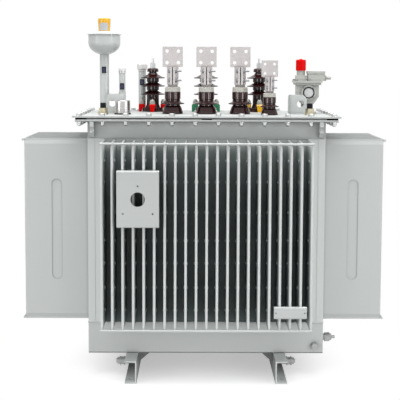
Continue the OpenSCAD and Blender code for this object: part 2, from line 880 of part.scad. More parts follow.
module lifting_lug() {
    depth = lug_bend + lug_return;
    difference() {
        intersection() {
            linear_extrude(lug_h) lug_plan();
            translate([0, depth + cut, 0]) rotate([90, 0, 0]) linear_extrude(depth + 2 * cut) lug_face();
        }
        translate([lug_w - lug_hole_in, -cut, lug_hole_z]) rotate([-90, 0, 0])
            cylinder(d = lug_hole_d, h = lug_t + 2 * cut);
    }
}

module lifting_lugs() {
    color(pale_paint) for (s = [0, 1])
        mirror([s, 0, 0]) translate([lug_x, lug_y, top_z]) lifting_lug();
}

// Low-voltage porcelain: bell foot, one thin umbrella shed, a beaded groove and a barrel.
module lv_porcelain() {
    foot = lv_foot_d / 2;
    shed = lv_shed_d / 2;
    barrel = lv_barrel_d / 2;
    waist = barrel - lv_groove;
    bead = barrel - lv_groove / 2;
    r = lv_rim_r;
    z = lv_shed_z;
    bell = z * 0.75;
    rotate_extrude() polygon(concat(
        [[0, 0]],
        arc([foot - r, r], r, -90, 0),
        arc([foot - r, 3 * r], r, 0, 60),
        [[barrel + 2.5 * r, bell * 0.55], [barrel + 1.3 * r, bell * 0.85], [barrel, bell],
            [waist, bell + r], [waist, z - 2 * r]],
        arc([shed - r, z], r, -90, 70),
        [[barrel + 2 * r, z + 2 * r], [barrel, z + 3.5 * r], [waist, z + 4 * r],
            [waist, z + 4.7 * r], [bead, z + 5.2 * r], [bead, z + 6 * r], [waist, z + 6.5 * r],
            [waist, z + 7.2 * r], [barrel, z + 8 * r]],
        arc([barrel - r, lv_h - r], r, 0, 90),
        [[0, lv_h]]));
}

module lv_cap() {
    r = lv_barrel_d / 2 - lv_cap_in;
    rotate_extrude() polygon(concat([[0, 0], [r, 0]],
        arc([r - lv_cap_round, lv_cap_h - lv_cap_round], lv_cap_round, 0, 90), [[0, lv_cap_h]]));
}

// Plan of the split clamp: a round body with two ears to -Y and a slit between them.
module clamp_plan() {
    ears = 2 * ear_t + ear_slit;
    front = clamp_d / 2 + ear_reach;
    difference() {
        union() {
            circle(d = clamp_d);
            translate([-ears / 2, -front]) square([ears, front]);
        }
        translate([-ear_slit / 2, -front - cut]) square([ear_slit, front + cut]);
        circle(d = lv_stud_d);
    }
}

// Nut, stud, split clamp and drilled palm of a low-voltage terminal.
module lv_terminal() {
    palm_z = lv_nut_h + clamp_h;
    hole = palm_hole_pitch / 2;
    difference() {
        union() {
            hex_prism(lv_nut, lv_nut_h);
            cylinder(d = lv_stud_d, h = palm_z);
            translate([0, 0, lv_nut_h]) linear_extrude(clamp_h) clamp_plan();
            translate([-palm_w / 2, -palm_t / 2, palm_z]) cube([palm_w, palm_t, palm_w]);
        }
        for (sx = [-1, 1], sz = [-1, 1])
            translate([sx * hole, -palm_t, palm_z + palm_w / 2 + sz * hole])
                rotate([-90, 0, 0]) cylinder(d = palm_hole_d, h = 2 * palm_t);
    }
}

module lv_place(i) {
    translate([i * lv_pitch, lv_y, top_z]) children();
}

module neutral_place() {
    translate([neutral_x, neutral_y, top_z]) scale(neutral_scale) children();
}

module lv_porcelain_a() { color(porcelain) lv_place(-1) lv_porcelain(); }
module lv_porcelain_b() { color(porcelain) lv_place(0) lv_porcelain(); }
module lv_porcelain_c() { color(porcelain) lv_place(1) lv_porcelain(); }
module lv_porcelain_n() { color(porcelain) neutral_place() lv_porcelain(); }

module lv_caps() {
    color(cream) {
        for (i = phases) lv_place(i) translate([0, 0, lv_h]) lv_cap();
        neutral_place() translate([0, 0, lv_h]) lv_cap();
    }
}

module lv_terminal_a() { color(tin) lv_place(-1) translate([0, 0, lv_terminal_z]) lv_terminal(); }
module lv_terminal_b() { color(tin) lv_place(0) translate([0, 0, lv_terminal_z]) lv_terminal(); }
module lv_terminal_c() { color(tin) lv_place(1) translate([0, 0, lv_terminal_z]) lv_terminal(); }
module lv_terminal_n() { color(tin) neutral_place() translate([0, 0, lv_terminal_z]) lv_terminal(); }

// Profile of one umbrella shed: flat underside, thin rounded rim and a flared root that draws in
// to a groove above it.
function hv_shed(z) = let (body = hv_body_d / 2, rim = hv_shed_d / 2, r = hv_rim_r) concat(
    [[body, z - r]],
    arc([rim - r, z], r, -90, 75),
    [[body + hv_flare, z + hv_flare_h * 0.3], [body + hv_flare * 0.4, z + hv_flare_h * 0.6],
        [body - hv_groove, z + hv_flare_h]]);

// Profile of the rounded bottom of the body between two sheds.
function hv_cup(z) = let (body = hv_body_d / 2, r = hv_rim_r) concat(
    [[body - hv_groove, z + hv_flare_h + r / 2]],
    arc([body - 2 * r, z + hv_flare_h + 5 * r / 2], 2 * r, -90, 0));

// High-voltage porcelain: clamped foot, body with umbrella sheds, slim neck and rounded head.
module hv_porcelain() {
    body = hv_body_d / 2;
    foot = hv_foot_d / 2;
    neck = hv_neck_d / 2;
    head = hv_head_d / 2;
    r = hv_rim_r;
    round = hv_head_h / 2;
    rotate_extrude() polygon(concat(
        [[0, 0], [foot, 0]],
        arc([foot - r, hv_foot_h - r], r, 0, 90),
        [[body + 2 * r, hv_foot_h], [body + r, hv_foot_h + 3 * r], [body, hv_foot_h + 6 * r]],
        [for (i = [0:hv_sheds - 1]) let (z = hv_first_shed + i * hv_shed_pitch)
            each concat(hv_shed(z), i < hv_sheds - 1 ? hv_cup(z) : [])],
        [[neck + r, hv_head_z - 2 * r], [neck, hv_head_z - r], [neck, hv_head_z]],
        arc([head - r, hv_head_z + r], r, -90, 0),
        arc([head - round, hv_top - round], round, 0, 90),
        [[0, hv_top]]));
}

// Two washers and nuts and the stud on top of a high-voltage porcelain.
module hv_terminal() {
    nut = hv_washer_t + hv_nut_h;
    for (z = [0, nut]) translate([0, 0, z]) {
        cylinder(d = hv_washer_d, h = hv_washer_t);
        translate([0, 0, hv_washer_t]) hex_prism(hv_nut, hv_nut_h);
    }
    translate([0, 0, 2 * nut]) cylinder(d = hv_stud_d, h = hv_stud_h);
}

// Claw that holds the porcelain foot down, pointing to +X and wider at its top.
module claw() {
    foot = hv_foot_d / 2;
    outer = foot + claw_out;
    seat = hv_foot_h + claw_room;
    intersection() {
        translate([0, claw_w, 0]) rotate([90, 0, 0]) linear_extrude(2 * claw_w)
            polygon([[outer - claw_toe, 0], [outer, 0], [outer, claw_h - claw_chamfer],
                [outer - claw_chamfer, claw_h], [foot - claw_grip, claw_h], [foot - claw_grip, seat],
                [foot + claw_room, seat]]);
        rotate([90, 0, 90]) linear_extrude(outer + cut)
            polygon([[-claw_foot_w / 2, 0], [claw_foot_w / 2, 0], [claw_w / 2, claw_h],
                [-claw_w / 2, claw_h]]);
    }
}

module hv_place(i) {
    translate([i * hv_pitch, hv_y, top_z]) children();
}

module hv_clamps(i) {
    hv_place(i) for (k = [0:claws - 1]) rotate([0, 0, k * 360 / claws]) claw();
}

module hv_porcelain_a() { color(porcelain) hv_place(-1) hv_porcelain(); }
module hv_porcelain_b() { color(porcelain) hv_place(0) hv_porcelain(); }
module hv_porcelain_c() { color(porcelain) hv_place(1) hv_porcelain(); }

module hv_terminals() {
    color(zinc) for (i = phases) hv_place(i) translate([0, 0, hv_top]) hv_terminal();
}

module hv_clamps_a() { color(red) hv_clamps(-1); }
module hv_clamps_b() { color(green) hv_clamps(0); }
module hv_clamps_c() { color(yellow) hv_clamps(1); }

// Seat cut into the front of a pipe for a level window.
module window_seat(pipe_d, z) {
    translate([-window_w / 2, -pipe_d, z - window_h / 2])
        cube([window_w, pipe_d / 2 + window_depth, window_h]);
}

module window_pane(pipe_d, z) {
    translate([-window_w / 2, -pipe_d / 2 - window_out, z - window_h / 2])
        cube([window_w, window_depth + window_out, window_h]);
}

// Column under the oil cup with its branch and gauge pipe.
module oil_column() {
    gauge_foot = branch_z - branch_d / 2;
    color(paint) translate([cup_x, cup_y, top_z]) difference() {
        union() {
            cylinder(d = column_d, h = column_h);
            cylinder(d = column_d + 2 * column_collar, h = collar_h);
            translate([gauge_gap, 0, gauge_foot]) {
                cylinder(d = gauge_d, h = gauge_h - gauge_foot);
                cylinder(d = gauge_d + 2 * gauge_sleeve, h = gauge_window_z - window_h - gauge_foot);
            }
            translate([0, 0, branch_z]) rotate([0, 90, 0]) cylinder(d = branch_d, h = gauge_gap);
        }
        window_seat(column_d, column_window_z);
        translate([gauge_gap, 0, 0]) window_seat(gauge_d, gauge_window_z);
    }
}

// Round-bottomed bowl on the column, closed by a flat lid under a rolled rim.
module oil_bowl() {
    r = bowl_d / 2;
    rim = r + bowl_rim;
    neck = column_d / 2;
    start = asin(neck / r);
    color(paint) translate([cup_x, cup_y, bowl_z]) rotate_extrude() polygon(concat(
        [[0, 0], [neck, 0]],
        [for (a = arc([0, 0], 1, start - 90, 0, 14)) [r * a[0], bowl_round_h * (1 + a[1])]],
        [[r, bowl_h - bowl_rim_h]],
        arc([rim - bowl_rim_h / 2, bowl_h - bowl_rim_h / 2], bowl_rim_h / 2, -90, 90),
        [[0, bowl_h]]));
}

// Tapered cap on the lid of the bowl, wider at its top.
module bowl_cap() {
    r = bowl_cap_d / 2;
    round = bowl_rim;
    color(yellow) translate([cup_x, cup_y, seat_z + seat_h]) rotate_extrude()
        polygon(concat([[0, 0], [bowl_cap_foot_d / 2, 0], [r, bowl_cap_h * 0.8]],
            arc([r - round, bowl_cap_h - round], round, 0, 90), [[0, bowl_cap_h]]));
}

// Pipe cap with fingers around its lower half.
module finger_cap(d, h) {
    difference() {
        cylinder(d = d, h = h);
        for (k = [0:fingers - 1])
            rotate([0, 0, k * 360 / fingers]) translate([d / 2 - finger_slot, -finger_slot / 2, -cut])
                cube([2 * finger_slot, finger_slot, h / 2 + cut]);
    }
}

// Seat of the bowl cap and the caps of the gauge and filler pipes.
module white_caps() {
    neck = filler_d / 2 + filler_cap_over / 4;
    wide = filler_d / 2 + filler_cap_over;
    round = filler_cap_over / 2;
    color(white) {
        translate([cup_x, cup_y, seat_z]) rotate_extrude()
            polygon([[0, 0], [seat_d / 2, 0], [seat_d / 2, seat_h / 3], [bowl_cap_d / 2, seat_h],
                [0, seat_h]]);
        translate([cup_x + gauge_gap, cup_y, top_z + gauge_h])
            finger_cap(gauge_d + 2 * gauge_cap_over, gauge_cap_h);
        translate([filler_x, filler_y, top_z + filler_h]) rotate_extrude()
            polygon(concat([[0, 0], [neck, 0], [neck, filler_cap_h / 5], [wide, filler_cap_h / 3]],
                arc([wide - round, filler_cap_h - round], round, 0, 90), [[0, filler_cap_h]]));
    }
}

module filler_pipe() {
    color(paint) translate([filler_x, filler_y, top_z]) difference() {
        union() {
            cylinder(d = filler_d, h = filler_h);
            cylinder(d = filler_d + 2 * filler_collar, h = collar_h);
        }
        window_seat(filler_d, filler_window_z);
    }
}

module level_windows() {
    color(blue) {
        translate([cup_x, cup_y, top_z]) window_pane(column_d, column_window_z);
        translate([cup_x + gauge_gap, cup_y, top_z]) window_pane(gauge_d, gauge_window_z);
        translate([filler_x, filler_y, top_z]) window_pane(filler_d, filler_window_z);
    }
}

module relief_cup() {
    r = relief_d / 2;
    h = relief_h - relief_ring_h;
    color(chrome) translate([relief_x, relief_y, top_z + relief_ring_h]) rotate_extrude()
        polygon(concat([[0, 0], [r, 0]],
            arc([r - relief_round, h - relief_round], relief_round, 0, 90), [[0, h]]));
}

module relief_ring() {
    color(black) translate([relief_x, relief_y, top_z])
        cylinder(d = relief_d + 2 * relief_ring_over, h = relief_ring_h);
}

// Brass thermometer pockets near both ends of the cover.
module thermometer_pockets() {
    color(brass) for (s = [-1, 1]) translate([s * pocket_x, pocket_y, top_z]) {
        cylinder(d = pocket_flange_d, h = pocket_flange_h);
        translate([0, 0, pocket_flange_h]) hex_prism(pocket_hex, pocket_hex_h);
    }
}

module pocket_caps() {
    r = pocket_cap_d / 2;
    round = pocket_cap_round;
    color(black) for (s = [-1, 1])
        translate([s * pocket_x, pocket_y, top_z + pocket_cap_z]) rotate_extrude()
            polygon(concat([[0, 0], [r, 0]], arc([r - round, pocket_cap_h - round], round, 0, 90),
                [[0, pocket_cap_h]]));
}

// Seat of the sight glass in the front of the relay, facing -Y.
module glass_place() {
    front = relay_d / 2 + glass_flange_h - glass_seat;
    translate([relay_x + glass_x, relay_y - front, top_z + head_z - glass_drop])
        rotate([90, 0, 0]) children();
}

// Relay casting: neck on the cover, tapered chamber and the flange of its sight glass.
module relay_body() {
    w = relay_w / 2;
    color(paint) difference() {
        union() {
            translate([relay_x, relay_y, top_z]) {
                cylinder(d = relay_foot_d, h = relay_foot_h);
                cylinder(d = relay_neck_d, h = relay_neck_h);
                translate([0, relay_d / 2, relay_neck_h]) rotate([90, 0, 0]) linear_extrude(relay_d)
                    polygon([[relay_taper - w, 0], [w - relay_taper, 0], [w, relay_taper_h],
                        [w, relay_body_h], [-w, relay_body_h], [-w, relay_taper_h]]);
            }
            glass_place() translate([0, 0, -glass_flange_h])
                cylinder(d = glass_flange_d, h = glass_flange_h + glass_seat);
        }
        glass_place() cylinder(d = glass_d + 2 * glass_ring, h = glass_seat + cut);
    }
}

module relay_bezel() {
    color(black) glass_place() difference() {
        cylinder(d = glass_d + 2 * glass_ring, h = glass_ring_h);
        translate([0, 0, -cut]) cylinder(d = glass_d, h = glass_ring_h + 2 * cut);
    }
}

module relay_glass() {
    color(glass) glass_place() cylinder(d = glass_d, h = glass_t);
}

// Flat plate of the relay head that overhangs the relay body on all sides.
module head_plate(over) {
    translate([-relay_w / 2 - over, -relay_d / 2 - over, 0])
        cube([relay_w + 2 * over, relay_d + 2 * over, head_plate_t]);
}

// Two plates on the relay with a turret, a lidded terminal box and a cable gland.
module relay_head() {
    lid_w = box_w + 2 * lid_over;
    lid_d = box_d + 2 * lid_over;
    color(paint) {
        translate([relay_x, relay_y, top_z + head_z]) {
            head_plate(plate_over);
            translate([0, 0, head_plate_t]) head_plate(top_plate_over);
        }
        translate([relay_x - turret_x, relay_y, top_z + turret_z]) {
            translate([-turret_d / 2, -turret_d / 2, 0]) cube([turret_d, turret_d, turret_h]);
            cylinder(d = turret_neck_d, h = turret_h + turret_neck_h);
        }
        translate([relay_x + box_x, relay_y, top_z + turret_z]) {
            translate([0, -box_d / 2, 0]) cube([box_w, box_d, box_h]);
            translate([-lid_over, -lid_d / 2, box_h]) cube([lid_w, lid_d, lid_h]);
            translate([box_w, 0, gland_z]) rotate([0, 90, 0]) {
                hex_prism(gland_nut, gland_nut_h);
                cylinder(d = gland_d, h = gland_nut_h + gland_h);
            }
        }
    }
}

module relay_cap() {
    r = relay_cap_d / 2;
    round = relay_cap_h / 10;
    color(red) translate([relay_x - turret_x, relay_y, top_z + relay_cap_z]) rotate_extrude()
        polygon(concat([[0, 0], [r, 0]], arc([r - round, relay_cap_h - round], round, 0, 90),
            [[0, relay_cap_h]]));
}

// Side view of a folded plate, filled: rounded at the front, open end at Y = 0.
module fold_view(h, fold, r) {
    intersection() {
        union() {
            translate([r - fold, -h / 2]) square([fold - r, h]);
            translate([-fold, r - h / 2]) square([r, h - 2 * r]);
            for (s = [-1, 1]) translate([r - fold, s * (h / 2 - r)]) circle(r = r);
        }
        translate([-fold, -h / 2]) square([fold, h]);
    }
}

// Folded sheet plate whose bent top and bottom edges stand on the fin tips, its face at -Y.
module folded_plate(w, h, fold, side) {
    translate([-w / 2, 0, 0]) rotate([90, 0, 90]) {
        linear_extrude(w) difference() {
            fold_view(h, fold, fold_r);
            translate([cut, 0]) fold_view(h - 2 * fold_t, fold - fold_t + cut, fold_r - fold_t);
        }
        for (x = [0, w - fold_t]) translate([0, 0, x]) linear_extrude(fold_t) intersection() {
            fold_view(h, fold, fold_r);
            translate([-fold, -h / 2]) square([side, h]);
        }
    }
}

// Round hole through the face of a folded plate.
module plate_hole(x, z, fold, d) {
    translate([x, -fold - cut, z]) rotate([-90, 0, 0]) cylinder(d = d, h = fold_t + 2 * cut);
}

module instrument_plate() {
    color(pale_paint) translate([inst_x, fin_tip_y, band_z - inst_drop]) difference() {
        folded_plate(inst_w, inst_h, inst_fold, inst_side);
        plate_hole(0, 0, inst_fold, inst_hole_d);
        plate_hole(0, inst_screw_up, inst_fold, inst_screw_d);
        for (s = [-1, 1]) plate_hole(s * inst_screw_side, -inst_screw_down, inst_fold, inst_screw_d);
    }
}

module name_plate() {
    color(pale_paint) translate([name_x, fin_tip_y, wall_z + name_rise]) difference() {
        folded_plate(name_w, name_h, name_fold, name_side);
        for (s = [-1, 1]) plate_hole(s * (name_w / 2 - name_screw_in), 0, name_fold, name_screw_d);
    }
}

// Drain valve low on the right end of the tank.
module drain_valve() {
    hex_z = drain_flange_t + drain_neck_h;
    spout_z = hex_z + drain_hex_h;
    color(zinc) translate([tank_w / 2, -tank_d / 2 + drain_y, skirt_z + drain_z]) rotate([0, 90, 0]) {
        cylinder(d = drain_flange_d, h = drain_flange_t);
        cylinder(d = drain_neck_d, h = spout_z + drain_neck_h);
        translate([0, 0, hex_z]) hex_prism(drain_hex, drain_hex_h);
        cylinder(d = spout_d, h = spout_z + spout_h);
    }
}

left_base_rail();
right_base_rail();
rail_gussets();
earth_studs();
lower_frame();
corner_posts();
front_fin_wall();
back_fin_wall();
left_fin_wall();
right_fin_wall();
fin_tie_rods();
upper_frame();
tank_flange();
corner_lugs();
cover_gasket();
cover_plate();
lifting_lugs();
lv_porcelain_a();
lv_porcelain_b();
lv_porcelain_c();
lv_porcelain_n();
lv_caps();
lv_terminal_a();
lv_terminal_b();
lv_terminal_c();
lv_terminal_n();
hv_porcelain_a();
hv_porcelain_b();
hv_porcelain_c();
hv_terminals();
hv_clamps_a();
hv_clamps_b();
hv_clamps_c();
oil_column();
oil_bowl();
bowl_cap();
white_caps();
filler_pipe();
level_windows();
relief_cup();
relief_ring();
thermometer_pockets();
pocket_caps();
relay_body();
relay_head();
relay_cap();
relay_bezel();
relay_glass();
instrument_plate();
name_plate();
drain_valve();
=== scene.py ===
"""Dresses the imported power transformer: finishes, bolts, nuts, screws, weld beads, light and camera."""

import json
import logging
import math
from dataclasses import astuple, dataclass, field, replace
from enum import Enum
from functools import cached_property
from typing import Callable, ClassVar, Iterable, Sequence

import bpy
from mathutils import Matrix, Vector


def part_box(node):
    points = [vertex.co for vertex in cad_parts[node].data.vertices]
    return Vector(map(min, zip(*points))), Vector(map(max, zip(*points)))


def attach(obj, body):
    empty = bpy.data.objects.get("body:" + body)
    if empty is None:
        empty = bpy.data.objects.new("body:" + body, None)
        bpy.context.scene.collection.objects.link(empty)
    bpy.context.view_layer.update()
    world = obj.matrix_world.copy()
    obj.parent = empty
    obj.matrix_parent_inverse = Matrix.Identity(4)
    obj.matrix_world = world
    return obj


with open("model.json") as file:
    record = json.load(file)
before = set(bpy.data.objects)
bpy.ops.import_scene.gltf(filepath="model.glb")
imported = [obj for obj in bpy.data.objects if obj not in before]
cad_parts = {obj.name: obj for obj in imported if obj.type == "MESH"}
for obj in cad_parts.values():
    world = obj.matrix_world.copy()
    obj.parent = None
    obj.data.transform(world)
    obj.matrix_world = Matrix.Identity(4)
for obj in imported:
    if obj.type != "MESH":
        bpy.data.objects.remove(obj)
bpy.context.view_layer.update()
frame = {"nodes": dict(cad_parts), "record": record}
LOG = logging.getLogger("transformer")
MM = 0.001
BODY = "root"
IMAGE_SIDE = 400
WHITE = (1.0, 1.0, 1.0, 1.0)
# Fins of the front and back walls, and how far the outermost ones are from the middle
FIN_PITCH = 50 * MM
FIN_COUNT = 21
FIN_SPAN = FIN_PITCH * (FIN_COUNT - 1) / 2
# Corner radius of a hexagon that is 1 wide across its flats
HEX_CORNER = 0.5 / math.cos(math.pi / 6)

Colour = tuple[float, float, float]
Point = tuple[float, float, float]


class Slot(Enum):
    """Material slots of the record."""

    PAINT = "grey_paint"
    ZINC = "zinc_steel"
    TIN = "tinned_metal"
    PORCELAIN = "brown_porcelain"
    CREAM = "cream_cap"
    RED = "red_plastic"
    GREEN = "green_plastic"
    YELLOW = "yellow_plastic"
    WHITE = "white_plastic"
    BLACK = "black_plastic"
    RUBBER = "black_rubber"
    WINDOW = "blue_window"
    POLISHED = "polished_steel"
    BRASS = "brass"
    GLASS = "clear_glass"


class Side(Enum):
    """Directions that fasteners point to."""

    UP = (0.0, 0.0, 1.0)
    DOWN = (0.0, 0.0, -1.0)
    FRONT = (0.0, -1.0, 0.0)
    RIGHT = (1.0, 0.0, 0.0)
    LEFT = (-1.0, 0.0, 0.0)


class TreeHelper:
    """Adds and links the nodes of a node tree."""

    def __init__(self, tree: bpy.types.NodeTree) -> None:
        """Keeps the tree.

        Args:
            tree: The node tree of a material, a group, the world or a modifier.
        """
        self.tree = tree

    def add(self, kind: str, **values: object) -> bpy.types.Node:
        """Adds one node and sets its properties.

        Args:
            kind: The node's type name.
            **values: Properties of the node.

        Returns:
            The new node.
        """
        node = self.tree.nodes.new(kind)
        for name, value in values.items():
            setattr(node, name, value)
        return node

    def link(self, source: bpy.types.NodeSocket, target: bpy.types.NodeSocket) -> None:
        """Joins an output to an input."""
        self.tree.links.new(source, target)

    def feed(self, target: bpy.types.NodeSocket, value: object) -> None:
        """Gives an input its value.

        Args:
            target: The input.
            value: An output to join to it, or a plain value to set.
        """
        if isinstance(value, bpy.types.NodeSocket):
            self.link(value, target)
        else:
            target.default_value = value

    def fill(self, node: bpy.types.Node, values: dict[str, object]) -> None:
        """Gives the named inputs of a node their values.

        Args:
            node: The node.
            values: Outputs or plain values, by the name of the input.
        """
        for name, value in values.items():
            self.feed(node.inputs[name], value)

    def maths(self, operation: str, *values: object, clamp: bool = False) -> bpy.types.NodeSocket:
        """Adds a Math node.

        Args:
            operation: The node's operation.
            *values: Sockets or numbers, as many as the operation takes.
            clamp: Whether the result stays between 0 and 1.

        Returns:
            The node's output.
        """
        node = self.add("ShaderNodeMath", operation=operation, use_clamp=clamp)
        for target, value in zip(node.inputs, values):
            self.feed(target, value)
        return node.outputs[0]

    def product(self, first: object, *others: object) -> bpy.types.NodeSocket:
        """Multiplies sockets and numbers.

        Args:
            first: A socket or a number.
            *others: More of them.

        Returns:
            Their product.
        """
        result = first
        for other in others:
            result = self.maths("MULTIPLY", result, other)
        return result

    def scaled(self, vector: bpy.types.NodeSocket, factor: bpy.types.NodeSocket) -> bpy.types.NodeSocket:
        """Multiplies a vector or a colour by a number.

        Args:
            vector: The vector or colour.
            factor: The number.

        Returns:
            The scaled vector.
        """
        node = self.add("ShaderNodeVectorMath", operation="SCALE")
        self.link(vector, node.inputs[0])
        self.link(factor, node.inputs["Scale"])
        return node.outputs[0]


class ShaderTree(TreeHelper):
    """Adds the textures and masks that the finishes are made of."""

    def place(self) -> bpy.types.NodeSocket:
        """The point on the object, in metres."""
        return self.add("ShaderNodeTexCoord").outputs["Object"]

    def noise(self, vector: bpy.types.NodeSocket, waves: object, detail: float) -> bpy.types.NodeSocket:
        """Adds a noise texture.

        Args:
            vector: Where the noise is read.
            waves: Waves to the metre, a socket or a number.
            detail: Octaves.

        Returns:
            The noise value, about 0.5 on average.
        """
        node = self.add("ShaderNodeTexNoise")
        self.fill(node, {"Vector": vector, "Scale": waves, "Detail": detail})
        return node.outputs["Fac"]

    def ramp(self, value: bpy.types.NodeSocket, start: float, end: float) -> bpy.types.NodeSocket:
        """Maps a value to 0 at the start and 1 at the end, smooth between them.

        Args:
            value: The value.
            start: Where the result is 0.
            end: Where the result is 1.

        Returns:
            The mapped value.
        """
        low, high = (0.0, 1.0) if start < end else (1.0, 0.0)
        node = self.add("ShaderNodeMapRange", interpolation_type="SMOOTHSTEP")
        self.fill(node, {"Value": value, "From Min": min(start, end), "From Max": max(start, end),
                         "To Min": low, "To Max": high})
        return node.outputs["Result"]

    def seen(self) -> bpy.types.NodeSocket:
        """Tells rays that show the background from rays that light the object.

        Returns:
            1 for camera, glossy and transmission rays.
        """
        path = self.add("ShaderNodeLightPath")
        mirrored = self.maths("MAXIMUM", path.outputs["Is Glossy Ray"], path.outputs["Is Transmission Ray"])
        return self.maths("MAXIMUM", path.outputs["Is Camera Ray"], mirrored)

    def mixed(self, share: bpy.types.NodeSocket, first: bpy.types.Node, second: bpy.types.Node
              ) -> bpy.types.NodeSocket:
        """Mixes two shaders.

        Args:
            share: Share of the second shader.
            first: Node of the first shader.
            second: Node of the second shader.

        Returns:
            The mixed shader.
        """
        node = self.add("ShaderNodeMixShader")
        for target, source in zip(node.inputs, (share, first.outputs[0], second.outputs[0])):
            self.link(source, target)
        return node.outputs[0]

    def group(self, effect: bpy.types.NodeTree, **values: object) -> bpy.types.Node:
        """Places a shared effect with values of its own.

        Args:
            effect: The node group.
            **values: Values of its named inputs.

        Returns:
            The group node.
        """
        node = self.add("ShaderNodeGroup", node_tree=effect)
        self.fill(node, values)
        return node


@dataclass(frozen=True)
class ShadeSpread:
    """How far the painted shade reaches on the fins, the rails and the rims.

    A pair gives where the painted shade starts and where it is full: gap_start and gap_full down from the top
    of the fin wall, foot up from the floor, rail_drop down from the top of the rails and rail_depth out from
    the middle of the tank. The clouds make the painted shade uneven, and red_power tints it blue-green in the
    gaps.
    """

    tip_unshaded: float = 5 * MM
    root_full: float = 25 * MM
    span_blur: float = 2 * MM
    gap_start: tuple[float, float] = (25 * MM, 75 * MM)
    gap_full: tuple[float, float] = (20 * MM, 340 * MM)
    # Near the top of the fin wall the painted gap shade is weaker, a painted lighter band where light falls
    # in.
    gap_high_share: float = 0.55
    foot: tuple[float, float] = (300 * MM, 20 * MM)
    rail_drop: tuple[float, float] = (2 * MM, 8 * MM)
    rail_depth: tuple[float, float] = (360 * MM, 50 * MM)
    web_share: float = 0.6
    rim_height: float = 4 * MM
    blur: float = 1 * MM
    cloud_waves: float = 9.0
    cloud_detail: float = 3.0
    cloud_swing: float = 0.3
    cloud_least: float = 0.85
    red_power: float = 1.15


